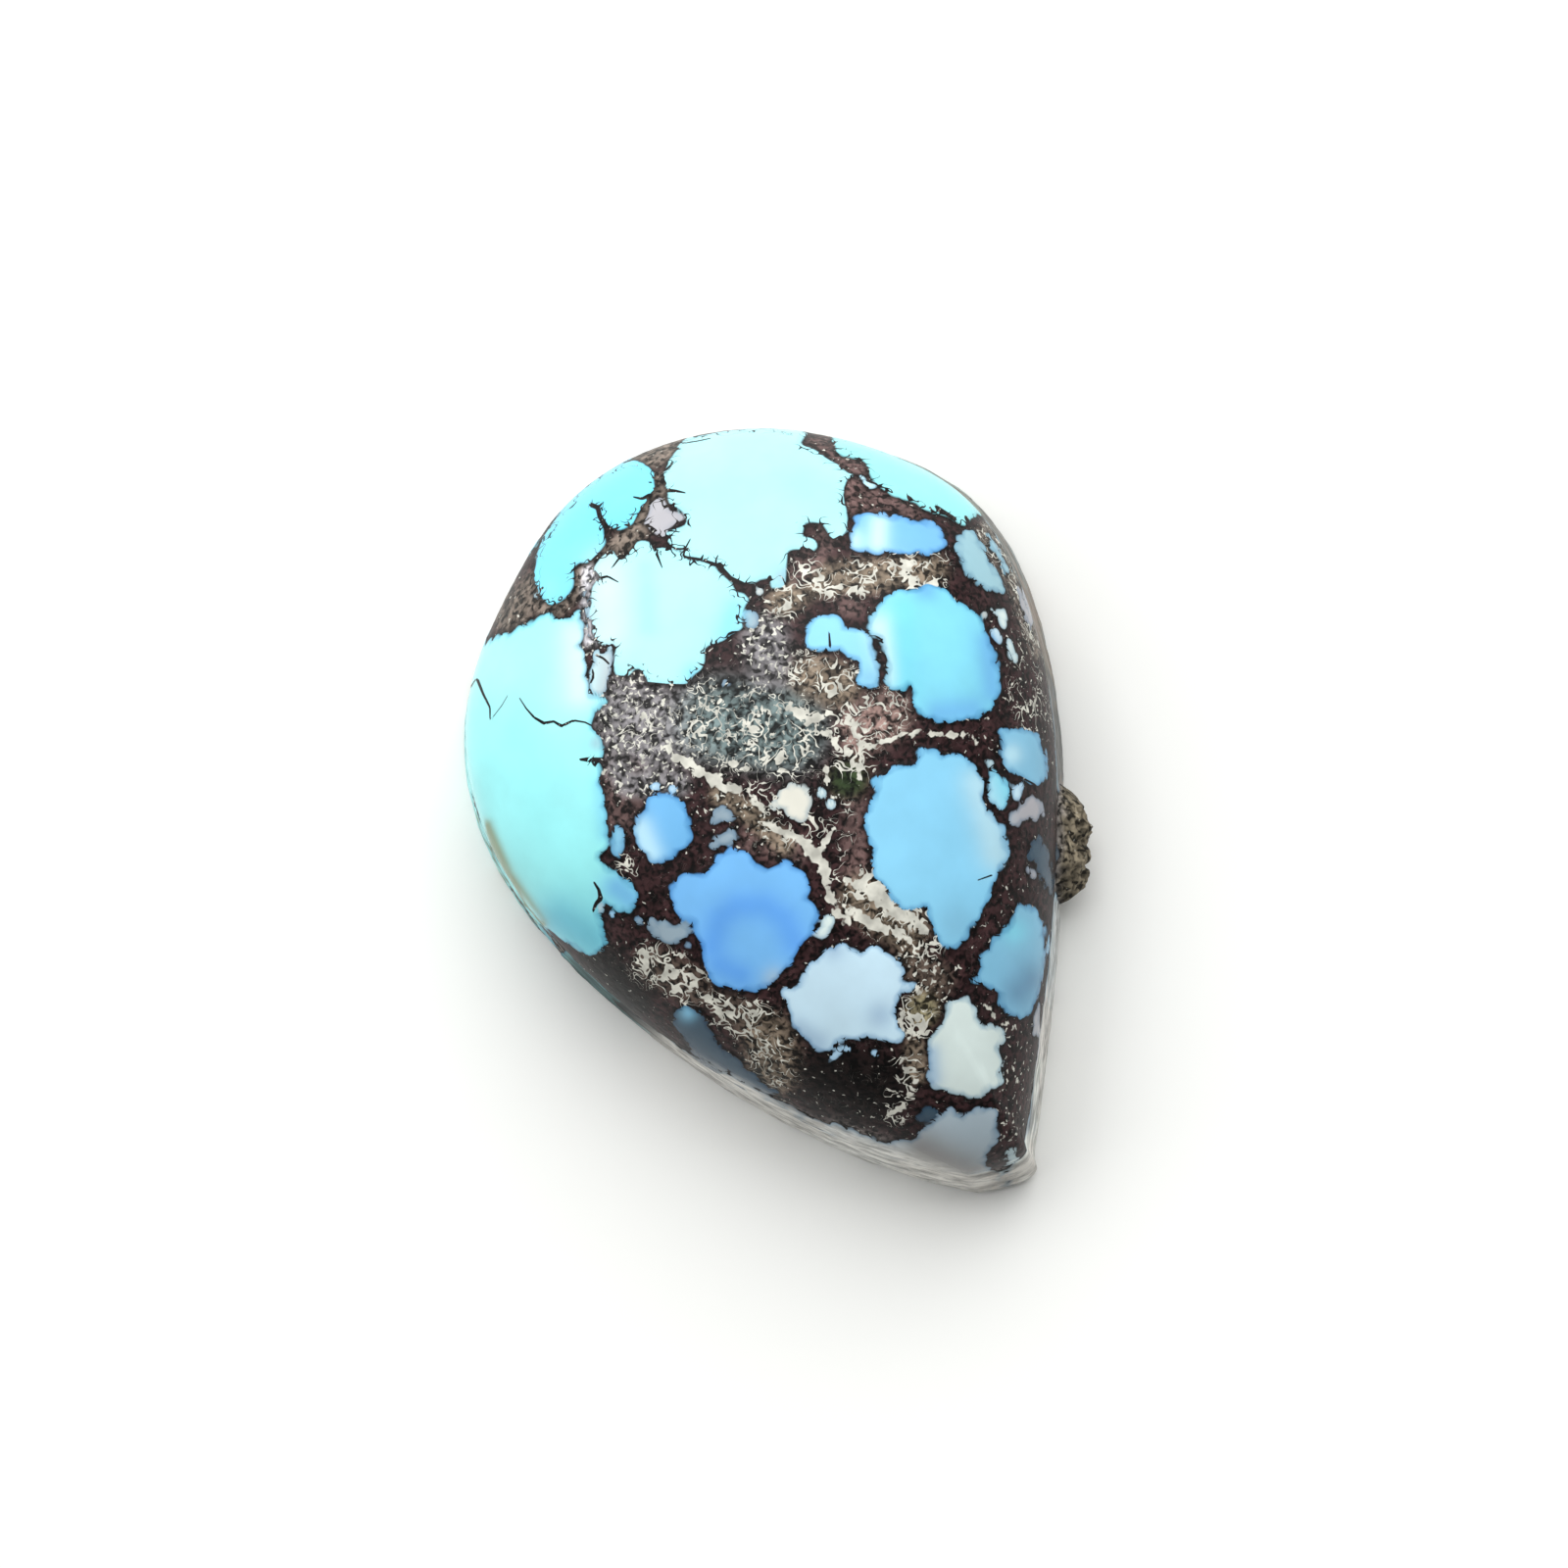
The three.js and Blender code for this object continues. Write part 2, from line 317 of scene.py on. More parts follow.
        (682, 540), (678, 548), (668, 545), (660, 538), (655, 535), (660, 525), (662, 516))),
    Patch("clay", RUGGED, (
        (604, 665), (610, 660), (616, 664), (622, 658), (627, 662), (626, 676), (624, 688), (622, 697),
        (620, 706), (608, 708), (602, 700), (600, 690), (604, 680))),
    Patch("ash", RUGGED, ((760, 625), (770, 622), (776, 632), (772, 640), (762, 640))),
    Patch("ash", RUGGED, ((732, 695), (740, 690), (745, 696), (740, 703), (735, 701))),
)

BEADS = (
    Bead("ivory", 3.5, ((775, 603), (546, 608), (1005, 626), (1027, 1011))),
    Bead("pearl", 5.0, ((1011, 778), (838, 810), (612, 926), (848, 820))),
    Bead("pale_blue", 5.5, ((667, 803), (687, 805))),
    Bead("pale_blue", 3.0, ((866, 1071), (892, 1075), (625, 934))),
    Bead("ash", 6.0, ((652, 940), (703, 965))),
    Bead("clay", 3.4, ((596, 606), (600, 612), (598, 622), (601, 630), (599, 640), (600, 648))),
)

# Tones that shade over inside the patches; the milk strokes among them are painted highlights, white bands
# where the soft lights reflect on the dome
PATCH_TINTS = (
    Stroke("pale_steel", 13, ((797, 588),)),
    Stroke("sky", 14, ((562, 602),)),
    # Painted highlight: a milk band down the head's pale patch
    Stroke("milk", 24, ((618, 585), (618, 645))),
    Stroke("bright_aqua", 11, ((660, 580), (662, 640))),
    Stroke("sky", 14, ((750, 622), (742, 648))),
    Stroke("sky", 11, ((706, 688),)),
    Stroke("milk_aqua", 40, ((515, 690), (570, 690))),
    # Painted highlight: a milk band on the left flank's patch
    Stroke("milk", 18, ((588, 650), (592, 706))),
    Stroke("pale_steel", 9, ((609, 758),)),
    Stroke("sky", 9, ((612, 800), (617, 850))),
    Stroke("teal", 30, ((570, 940), (605, 960))),
    Stroke("soft_blue", 17, ((630, 906), (642, 916))),
    Stroke("ochre", 6, ((497, 842), (519, 892), (552, 942))),
    Stroke("pale_sky", 12, ((870, 552),)),
    # Painted highlights: a white band in the lozenge and a pale band down the sky patch's left side
    Stroke("milk", 11, ((897, 535), (896, 553))),
    Stroke("milk", 15, ((898, 640), (910, 690))),
    Stroke("sky_aqua", 14, ((922, 620), (925, 700))),
    Stroke("soft_blue", 13, ((945, 602),)),
    Stroke("soft_blue", 13, ((1008, 655), (1013, 705))),
    Stroke("soft_blue", 15, ((958, 728), (992, 724))),
    Stroke("steel", 11, ((889, 692),)),
    Stroke("pale_sky", 18, ((998, 800), (1012, 848), (1017, 872))),
    Stroke("steel", 22, ((975, 945),)),
    Stroke("royal", 15, ((727, 965), (735, 938), (752, 925), (780, 924), (800, 938), (811, 962))),
    Stroke("royal", 13, ((735, 985), (755, 995))),
    Stroke("haze", 12, ((790, 998),)),
    Stroke("pale_sky", 13, ((654, 846), (664, 870))),
    Stroke("haze", 13, ((850, 968),)),
    Stroke("haze", 12, ((835, 1064), (814, 1050))),
    Stroke("haze", 14, ((898, 1036),)),
    Stroke("haze", 10, ((950, 1075), (952, 1100))),
    Stroke("taupe", 24, ((940, 1175), (985, 1198))),
    Stroke("pale_sky", 11, ((1032, 770),)),
    Stroke("sky", 14, ((1035, 950),)),
    Stroke("dull_blue", 18, ((1040, 1012), (1052, 1000))),
    Stroke("steel", 9, ((702, 1033),)),
)

# Colours of the web between the patches
WEB_TINTS = (
    Stroke("web_grey", 40, ((640, 725), (690, 740), (650, 760))),
    Stroke("web_teal", 44, ((735, 735), (800, 745))),
    Stroke("web_grey", 24, ((780, 650), (785, 680))),
    Stroke("web_olive", 18, ((800, 612), (825, 592), (880, 588), (950, 582))),
    Stroke("web_olive", 24, ((830, 690), (855, 700))),
    Stroke("web_rose", 26, ((905, 728), (880, 745))),
    Stroke("web_red", 24, ((636, 795), (632, 825))),
    Stroke("web_red", 15, ((765, 858), (812, 868))),
    Stroke("web_red", 14, ((872, 825), (872, 895))),
    Stroke("web_red", 13, ((868, 618),)),
    Stroke("web_beige", 14, ((560, 622), (600, 585), (645, 548), (675, 495))),
    Stroke("web_beige", 15, ((650, 466), (690, 454))),
    Stroke("web_red", 16, ((838, 450), (878, 482), (868, 510), (930, 515))),
    Stroke("web_red", 14, ((845, 545), (815, 585))),
    Stroke("clay", 10, ((603, 585), (603, 650))),
    Stroke("web_grey", 14, ((632, 785), (640, 800), (690, 800))),
    Stroke("web_olive", 12, ((735, 812), (765, 830), (800, 862))),
    Stroke("web_tan", 20, ((665, 985), (712, 1008))),
    Stroke("web_tan", 18, ((745, 1030), (775, 1045))),
    Stroke("web_olive", 28, ((785, 1062), (790, 1090))),
    Stroke("web_black", 42, ((850, 1100), (895, 1110))),
    Stroke("web_black", 24, ((615, 985), (645, 1020))),
    Stroke("web_green", 20, ((865, 795),)),
    Stroke("web_maroon", 18, ((1042, 690), (1052, 735))),
    Stroke("web_beige", 15, ((1012, 545), (1048, 605), (1066, 660))),
    Stroke("web_beige", 16, ((520, 632), (545, 600))),
    Stroke("web_tan", 20, ((930, 985), (955, 1000))),
    Stroke("web_straw", 16, ((942, 1030),)),
    Stroke("web_olive", 12, ((934, 1070), (936, 1095))),
    Stroke("web_olive", 24, ((880, 915), (925, 948))),
)

# How thickly pale worm-shaped flecks lie on the web, and pale grains like salt
FLECKS = (
    Stroke(0.65, 46, ((735, 735), (800, 748))),
    Stroke(0.4, 30, ((650, 740),)),
    Stroke(1.2, 20, ((800, 612), (825, 592), (880, 588), (950, 582))),
    Stroke(1.0, 26, ((830, 690), (858, 705), (872, 770))),
    Stroke(0.5, 26, ((905, 728),)),
    Stroke(1.5, 26, ((870, 908), (900, 925), (938, 950))),
    Stroke(1.0, 22, ((665, 985), (712, 1008), (765, 1040))),
    Stroke(0.5, 26, ((785, 1062), (790, 1090))),
    Stroke(0.6, 18, ((1045, 690), (1055, 735))),
    Stroke(0.7, 15, ((1012, 545), (1048, 605), (1066, 660))),
    Stroke(1.2, 16, ((935, 1025), (940, 1045))),
    Stroke(0.8, 14, ((925, 1085), (915, 1135))),
    Stroke(0.7, 18, ((775, 812), (800, 850), (845, 835))),
    Stroke(0.5, 12, ((862, 830), (870, 890))),
    Stroke(0.5, 9, ((636, 880), (652, 900))),
)
SALTS = (
    Stroke(0.8, 22, ((632, 785), (640, 800), (700, 800))),
    Stroke(0.7, 13, ((606, 590), (604, 690))),
    Stroke(0.6, 16, ((712, 815), (720, 850))),
    Stroke(0.9, 46, ((640, 725), (690, 745), (650, 765))),
    Stroke(0.6, 44, ((735, 735), (800, 745))),
    Stroke(0.5, 20, ((690, 800), (780, 830))),
    Stroke(0.9, 26, ((780, 650), (785, 680))),
    Stroke(0.5, 26, ((905, 728), (860, 740))),
    Stroke(0.8, 22, ((930, 985), (955, 1000))),
    Stroke(0.5, 20, ((1045, 650), (1052, 735))),
    Stroke(0.5, 18, ((1035, 1060), (1030, 1150))),
    Stroke(0.35, 24, ((636, 800),)),
)
FEWEST_FLECKS = 0.04
FEWEST_SALT = 0.0

# Ivory veins in the web, and the web's hairlines and spurs in the patches: x, y and half width in pixels
IVORY_VEINS = (
    ((688, 772, 5), (700, 778, 6), (712, 786, 5), (735, 800, 6), (748, 803, 4), (760, 808, 3.5),
     (772, 818, 3), (778, 826, 3.5)),
    ((780, 838, 3), (790, 846, 2.5), (800, 850, 4), (812, 853, 4), (822, 862, 6), (830, 872, 7),
     (838, 880, 6), (842, 892, 5), (843, 905, 4), (852, 928, 5), (860, 937, 3), (868, 945, 2)),
    ((835, 868, 3), (843, 858, 3), (852, 846, 2)),
    ((684, 755, 2), (682, 768, 3)),
    ((848, 812, 1.5), (868, 817, 1.5), (878, 822, 1.5), (886, 812, 1.5)),
    ((842, 780, 2), (844, 800, 2)),
    ((870, 735, 2.5), (880, 768, 2.5), (876, 785, 2.5), (880, 800, 2)),
    ((805, 720, 4), (815, 728, 6), (828, 735, 6), (840, 728, 4)),
    ((840, 745, 3), (850, 752, 3), (855, 765, 2)),
    ((745, 775, 3), (755, 785, 4), (765, 780, 3)),
    ((880, 765, 2), (900, 757, 2.2), (938, 745, 2.2), (955, 750, 2), (990, 750, 2.2), (1000, 758, 2)),
    ((862, 898, 3), (880, 905, 6), (900, 918, 7), (915, 932, 6), (935, 940, 5), (948, 955, 3)),
    ((862, 925, 3), (880, 938, 6), (905, 948, 5), (930, 960, 3)),
    ((1005, 1025, 2), (1015, 1037, 2.2), (1038, 1050, 2)),
    ((922, 1030, 2), (920, 1045, 2.2), (930, 1060, 2)),
    ((920, 1080, 2), (925, 1095, 2.2), (935, 1105, 2)),
    ((905, 1140, 2), (920, 1130, 2.2), (930, 1115, 2)),
)
WEB_LINES = (
    ((603, 515, 2.5), (610, 518, 2.5), (612, 527, 2.5), (618, 537, 3), (622, 545, 3)),
    ((610, 518, 1.5), (616, 512, 0.5)),
    ((625, 541, 1.5), (634, 537, 0.5)),
    ((646, 507, 0.8), (655, 509, 1.5), (664, 505, 2.5)),
    ((668, 480, 2), (680, 479, 1.5), (685, 474, 0.8)),
    ((670, 492, 1.5), (679, 493, 0.5)),
    ((676, 500, 2.5), (690, 501, 1.5), (700, 503, 0.6)),
    ((684, 517, 1), (691, 518, 0.5)),
    ((682, 541, 1), (694, 543, 0.5)),
    ((665, 465, 2), (676, 460, 1.5), (690, 456, 1)),
    ((680, 459, 1), (695, 458, 0.6)),
    ((700, 452, 0.6), (712, 450, 0.6), (726, 447, 0.5)),
    ((668, 468, 3), (673, 492, 5), (671, 503, 4), (662, 512, 3), (655, 523, 3), (648, 535, 2.5)),
    ((664, 547, 2.5), (668, 560, 2), (672, 570, 1.2), (676, 580, 0.5)),
    ((668, 560, 1), (675, 563, 0.6)),
    ((672, 545, 1), (682, 556, 1), (690, 560, 1), (699, 560, 1), (705, 549, 0.6)),
    ((699, 560, 1), (697, 568, 1.2), (716, 571, 1.5), (735, 578, 2), (745, 590, 2.5), (765, 600, 3)),
    ((716, 571, 1), (718, 565, 0.5)),
    ((730, 572, 1), (733, 566, 0.5)),
    ((636, 560, 2), (633, 568, 1.3), (624, 580, 0.6)),
    ((636, 560, 1.5), (642, 567, 0.5)),
    ((606, 583, 2), (612, 590, 1.5), (620, 588, 1.2), (631, 594, 0.6)),
    ((606, 583, 1), (612, 598, 0.5)),
    ((620, 560, 2.5), (610, 568, 2.5), (603, 575, 2.5)),
    ((608, 668, 1.2), (616, 672, 1.2), (622, 678, 1)),
    ((604, 682, 1.2), (606, 690, 1.2), (602, 698, 1)),
    ((622, 690, 2), (640, 692, 2), (650, 689, 4), (654, 686, 4)),
    ((660, 698, 2.5), (680, 700, 2.5), (700, 700, 2)),
    ((530, 712, 0.5), (537, 723, 0.8), (545, 732, 1.2), (555, 738, 1.7), (565, 736, 1.2), (573, 741, 1.6),
     (585, 735, 1.1), (597, 737, 0.9), (605, 741, 0.8)),
    ((487, 693, 1.6), (493, 708, 1.3), (500, 722, 1), (500, 735, 0.6)),
    ((502, 733, 0.4), (512, 720, 0.4), (519, 708, 0.3)),
    ((616, 777, 4), (600, 775, 2.5), (592, 775, 1.2)),
    ((603, 775, 1.5), (607, 782, 1)),
    ((606, 900, 1), (611, 908, 1.6), (613, 917, 2.5), (608, 922, 2), (605, 930, 1.2)),
    ((846, 645, 0.8), (847, 660, 1.5)),
    ((940, 520, 2), (958, 533, 1.6)),
    ((955, 517, 2), (975, 530, 2)),
    ((985, 527, 1.6), (990, 535, 2)),
    ((1005, 770, 2), (1015, 772, 1.8), (1022, 780, 1.5), (1030, 790, 1.2)),
    ((1006, 795, 1.5), (1005, 810, 1.5), (1010, 822, 1.5), (1018, 832, 1.2)),
    ((1031, 805, 1), (1032, 818, 1), (1025, 828, 1)),
    ((1040, 792, 1), (1055, 800, 1), (1062, 806, 1)),
    ((998, 898, 0.6), (1012, 893, 0.9)),
)

# Where the grinding runs up over the dome's foot, and the colours of the ground edge
GROUND_FACETS = (
    Stroke(1.0, 9, ((680, 1070), (790, 1130), (850, 1160))),
    Stroke(1.0, 20, ((850, 1165), (905, 1185), (960, 1212))),
    Stroke(0.8, 14, ((1000, 1215), (1035, 1205))),
)
EDGE_TINTS = (
    Stroke("edge_brown", 14, ((480, 690), (500, 655), (547, 565), (620, 482), (700, 448), (800, 437))),
    Stroke("edge_brown", 12, ((800, 437), (900, 456), (980, 497))),
    Stroke("edge_dark", 20, ((590, 985), (640, 1032), (680, 1064))),
    Stroke("frost", 34, ((690, 1074), (800, 1134), (905, 1186), (1000, 1216))),
    Stroke("edge_beige", 22, ((990, 505), (1062, 640), (1086, 790))),
    Stroke("frost", 20, ((1082, 930), (1064, 1150), (1046, 1200))),
)

# Lights: their sizes, and their places to the right, up in the picture and above the floor, in millimetres
WINDOW_SIZE = (500.0, 350.0)
WINDOW_PLACE = (0.0, 230.0, 260.0)
SIDE_SIZE = (300.0, 300.0)
SIDE_PLACE = (-260.0, 40.0, 240.0)


def linear(hex_colour):
    """An sRGB hex value as linear red, green and blue."""
    parts = [int(hex_colour[i:i + 2], 16) / 255 for i in (1, 3, 5)]
    return tuple(c / 12.92 if c <= 0.04045 else ((c + 0.055) / 1.055) ** 2.4 for c in parts)


def tone(label, hex_colour, description):
    """A colour that a user can change."""
    return bpy.props.FloatVectorProperty(
        name=label, description=description, default=linear(hex_colour), subtype="COLOR", min=0.0, max=1.0)


def length(label, default, description):
    """A size that a user can change, in metres."""
    return bpy.props.FloatProperty(
        name=label, description=description, default=default, unit="LENGTH", subtype="DISTANCE")


class StoneSettings(bpy.types.PropertyGroup):
    """Sizes and colours of the stone."""

    head_radius: length("Head radius", stone_size.x * HEAD_SHARE, "Radius of the plan's round end")
    plan_length: length("Length", stone_size.y, "From the top of the head to the tip")
    height: length("Height", stone_size.z, "From the flat back to the dome's crown")
    wall_height: length("Wall height", 1.7 * MM, "Height at which the ground edge turns into the dome")
    chamfer: length("Chamfer", 0.22 * MM, "Height of the chamfer round the back")
    crown_drop: length("Crown drop", 1.2 * MM, "How far the crown lies from the head's centre towards the tip")
    web_depth: length("Web depth", 0.014 * MM, "How far the softer web is worn below the patches")
    web_grain: length("Web grain", 0.008 * MM, "Height of the grains and pits in the web")
    edge_chips: length("Edge chips", 0.018 * MM, "Height of the unevenness of the ground edge")

    # Milk is the colour of a small chalky patch and also of the painted highlights laid over the patches
    milk: tone("Milk", "#CDEFF2", "Chalky turquoise, nearly white")
    milk_aqua: tone("Milk aqua", "#ABEAF0", "Pale turquoise of the head")
    rim_aqua: tone("Rim aqua", "#98E6EA", "Turquoise of the head's right rim")
    bright_aqua: tone("Bright aqua", "#A0F4F6", "Clear turquoise of the left flank")
    sky_aqua: tone("Sky aqua", "#7CDCF0", "Turquoise of the upper left")
    sky: tone("Sky", "#88DCF2", "Light blue of the right")
    pale_sky: tone("Pale sky", "#C2EAF8", "Lightest blue of the right")
    lozenge_blue: tone("Lozenge blue", "#80C2F2", "Blue of the lozenge at the upper right")
    clear_blue: tone("Clear blue", "#90D6F6", "Blue of the lower right")
    soft_blue: tone("Soft blue", "#74BAEC", "Blue of the smaller patches")
    deep_blue: tone("Deep blue", "#7CC0F8", "Strong blue of the lower left")
    royal: tone("Royal blue", "#64A8F4", "Deepest blue")
    pale_blue: tone("Pale blue", "#CDEBFA", "Chalky blue near the tip")
    haze: tone("Haze", "#A9C8E0", "Dull pale blue")
    pearl: tone("Pearl", "#DFEEEA", "Grey white near the tip")
    teal: tone("Teal", "#66C0D8", "Greenish end of the left flank")
    pale_steel: tone("Pale steel", "#9CC6D2", "Greenish grey blue")
    steel: tone("Steel", "#88C6E4", "Dull blue at the edge")
    dull_blue: tone("Dull blue", "#6C9CBE", "Shaded blue at the edge")
    slate_blue: tone("Slate blue", "#3C5465", "Dark blue at the edge")
    tip_grey: tone("Tip grey", "#B8CAD4", "Grey blue of the tip")
    clay: tone("Clay", "#B4B3B8", "Clay between the patches")
    ash: tone("Ash", "#9AAEBA", "Grey blue of the smallest patches")
    taupe: tone("Taupe", "#8A8480", "Brownish grey of the tip")
    ivory: tone("Ivory", "#E3E2D6", "Pale grains and veins of the web")
    ochre: tone("Ochre", "#747632", "Iron stain")
    frost: tone("Frost", "#E6E3DC", "Ground and unpolished edge")
    edge_brown: tone("Brown edge", "#6D6258", "Ground edge of the head")
    edge_beige: tone("Beige edge", "#86796C", "Ground edge of the right")
    edge_dark: tone("Dark edge", "#1F1E1A", "Ground edge of the lower left")
    crust: tone("Crust", "#6A6253", "Raw host rock")
    web: tone("Web", "#2A1A1B", "Dark matrix between the patches")
    web_grey: tone("Grey web", "#6A686A", "Granular matrix of the left")
    web_teal: tone("Teal web", "#566464", "Granular matrix of the middle, with some turquoise in it")
    web_olive: tone("Olive web", "#665B4E", "Earthy matrix")
    web_rose: tone("Rose web", "#75605A", "Iron-rich matrix, pale")
    web_red: tone("Red web", "#4E3D3B", "Iron-rich matrix")
    web_black: tone("Black web", "#0E0A09", "Densest matrix")
    web_tan: tone("Tan web", "#463C35", "Fibrous matrix")
    web_straw: tone("Straw web", "#8C8468", "Yellowish matrix")
    web_beige: tone("Beige web", "#5F564E", "Matrix at the head's edge")
    web_green: tone("Green web", "#28361F", "A green crystal in the matrix")
    web_maroon: tone("Maroon web", "#241416", "Dark red matrix of the right edge")


class StageSettings(bpy.types.PropertyGroup):
    """The floor and the lights."""

    floor_size: length("Floor size", 1.2, "Side of the square floor")
    floor_colour: tone("Floor colour", "#F4F5F2", "Matte pale floor")
    window_power: bpy.props.FloatProperty(
        name="Window power", description="Power of the large soft light at the head's side", default=1.9,
        unit="POWER")
    side_power: bpy.props.FloatProperty(
        name="Side power", description="Power of the soft light at the left", default=0.5, unit="POWER")
    sky_strength: bpy.props.FloatProperty(
        name="Sky strength", description="Strength of the even light from all round", default=0.2)


# Camera

def camera_axes():
    """Right, up and backward directions of the camera, at its roll."""
    back = Vector((0.0, -math.cos(CAMERA_ELEVATION), math.sin(CAMERA_ELEVATION)))
    level_right = Vector((1.0, 0.0, 0.0))
    level_up = back.cross(level_right)
    right = math.cos(CAMERA_ROLL) * level_right - math.sin(CAMERA_ROLL) * level_up
    up = math.sin(CAMERA_ROLL) * level_right + math.cos(CAMERA_ROLL) * level_up
    return right, up, back


def camera_place(settings):
    """Where the camera stands so that the head's centre, at the girdle's height, is at its pixel."""
    right, up, back = camera_axes()
    pixel = MM_PER_PIXEL * MM
    half_frame = IMAGE_PIXELS / 2
    girdle_middle = head_centre(settings) + Vector((0.0, 0.0, settings.chamfer))
    to_middle = right * (half_frame - HEAD_PIXEL[0]) + up * (HEAD_PIXEL[1] - half_frame)
    return girdle_middle + pixel * (to_middle + back * IMAGE_PIXELS * LENS / SENSOR)


def photo_pixels(points, settings):
    """Where points of the stone appear in the photograph."""
    right, up, back = (np.array(axis) for axis in camera_axes())
    seen = points - np.array(camera_place(settings))
    scale = IMAGE_PIXELS * LENS / SENSOR / -(seen @ back)
    half_frame = IMAGE_PIXELS / 2
    return np.stack([half_frame + scale * (seen @ right), half_frame - scale * (seen @ up)], axis=1)


# Form of the stone

def way_at(angle):
    """The way at an angle in the plan, as a vector of length 1."""
    return Vector((math.cos(angle), math.sin(angle), 0.0))


def flank(start, start_way, end, end_way):
    """A curve between two points, along a way at each, without its last point."""
    points = interpolate_bezier(start, start + start_way, end - end_way, end, RIM_POINTS)
    return [p.xy for p in points[:-1]]


def cut_outline(settings):
    """The plan as it was cut, anticlockwise about the head's centre: head, left flank, tip, right flank."""
    radius = settings.head_radius
    tip_end = Vector((0.0, radius - settings.plan_length, 0.0))
    left, right, corner = (tip_end + Vector((*p, 0.0)) * MM for p in (TIP_LEFT, TIP_RIGHT, TIP_CORNER))
    head_turns = np.linspace(RIGHT_LEAVES, LEFT_LEAVES, RIM_POINTS)
    head = [(way_at(turn) * radius).xy for turn in head_turns[:-1]]
    left_reaches, right_reaches = (Vector(reaches) * MM for reaches in (LEFT_REACHES, RIGHT_REACHES))
    left_way = way_at(LEFT_LEAVES + math.pi / 2) * left_reaches[0]
    right_way = way_at(RIGHT_LEAVES + math.pi / 2) * right_reaches[0]
    left_flank = flank(way_at(LEFT_LEAVES) * radius, left_way, left, way_at(TIP_LEFT_WAY) * left_reaches[1])
    tip = flank(left, (corner - left) * 2 / 3, right, (right - corner) * 2 / 3)
    right_end = way_at(RIGHT_LEAVES) * radius
    right_flank = flank(right, way_at(TIP_RIGHT_WAY) * right_reaches[1], right_end, right_way)
    return np.array(head + left_flank + tip + right_flank)


def outline(settings):
    """The plan as grinding left it, about the head's centre."""
    points = cut_outline(settings)
    radius = np.linalg.norm(points, axis=1)
    angle = np.arctan2(points[:, 1], points[:, 0])
    stands_out = np.zeros(len(points))
    for turn, size, spread in UNEVEN_SIDES:
        stands_out = stands_out + size * MM * np.exp(-((angle - turn) / spread) ** 2)
    return points * (1.0 + stands_out / radius)[:, None]


def head_centre(settings):
    """Middle of the plan's round head, on the back's plane: the outline's middle is over the solid's."""
    points = outline(settings)
    middle = Vector((*(points.min(0) + points.max(0)) / 2, 0.0))
    solid_middle = (stone_low + stone_high) / 2
    return Vector((solid_middle.x, solid_middle.y, 0.0)) - middle


def rim_radii(settings):
    """Angles about the crown, and there the outline's radius and that of a rounder outline, for the crown."""
    points = outline(settings) + (0.0, settings.crown_drop)
    steps = np.linalg.norm(np.diff(points, axis=0, append=points[:1]), axis=1)
    along = np.concatenate([[0.0], np.cumsum(steps)])
    closed = np.vstack([points, points[:1]])
    even = np.linspace(0.0, along[-1], RIM_POINTS, endpoint=False)
    rim = np.stack([np.interp(even, along, closed[:, k]) for k in (0, 1)], axis=1)
    radius = np.linalg.norm(rim, axis=1)
    half_window = int(SOFTEN_SHARE * RIM_POINTS)
    offsets = np.arange(-half_window, half_window + 1)
    weights = 1 + np.cos(np.pi * offsets / half_window)
    soft = sum(w * np.roll(radius, k) for k, w in zip(offsets, weights)) / weights.sum()
    angle = np.arctan2(rim[:, 1], rim[:, 0])
    order = np.argsort(angle)
    return angle[order], radius[order], soft[order]


def section_place(section, settings):
    """Plan scale and height for a section value: 0 to 1 dome, to 2 wall, to 3 chamfer, to 4 back."""
    turn = np.clip(section, 0.0, 1.0) * math.pi / 2
    stops = (1.0, 2.0, 3.0, 4.0)
    scale = np.interp(section, stops, (WALL_SCALE, 1.0, CHAMFER_SCALE, 0.0))
    height = np.interp(section, stops, (settings.wall_height, settings.chamfer, 0.0, 0.0))
    on_dome = section < 1.0
    scale = np.where(on_dome, WALL_SCALE * np.sin(turn), scale)
    rise = (settings.height - settings.wall_height) * np.cos(turn)
    return scale, np.where(on_dome, settings.wall_height + rise, height)


def stone_points(section, angle, settings):
    """Places on the smooth stone, from a section value and an angle about the crown."""
    angles, radius, soft = rim_radii(settings)
    scale, height = section_place(section, settings)
    sharp = np.interp(angle, angles, radius, period=2 * math.pi)
    round_off = np.interp(angle, angles, soft, period=2 * math.pi)
    reach = scale * (round_off + (sharp - round_off) * scale ** 3)
    crown = head_centre(settings) - Vector((0.0, settings.crown_drop, 0.0))
    return np.stack([crown.x + reach * np.cos(angle), crown.y + reach * np.sin(angle), height], axis=1)


def square_to_disc(x, y):
    """Radius and angle on a disc for a point of the square from -1 to 1, rings staying rings."""
    if x == 0.0 and y == 0.0:
        return 0.0, 0.0
    if abs(x) > abs(y):
        return abs(x), math.pi / 4 * y / x + (math.pi if x < 0 else 0.0)
    return abs(y), math.pi / 2 - math.pi / 4 * x / y + (math.pi if y < 0 else 0.0)


def ring_stops():
    """Section values of the rings that are drawn out from the dome's edge."""
    wall = 1.0 + np.arange(1, WALL_RINGS + 1) / WALL_RINGS
    chamfer = 2.0 + np.arange(1, CHAMFER_RINGS + 1) / CHAMFER_RINGS
    back = 3.0 + np.arange(1, BACK_RINGS + 1) / BACK_RINGS
    return np.concatenate([wall, chamfer, back])


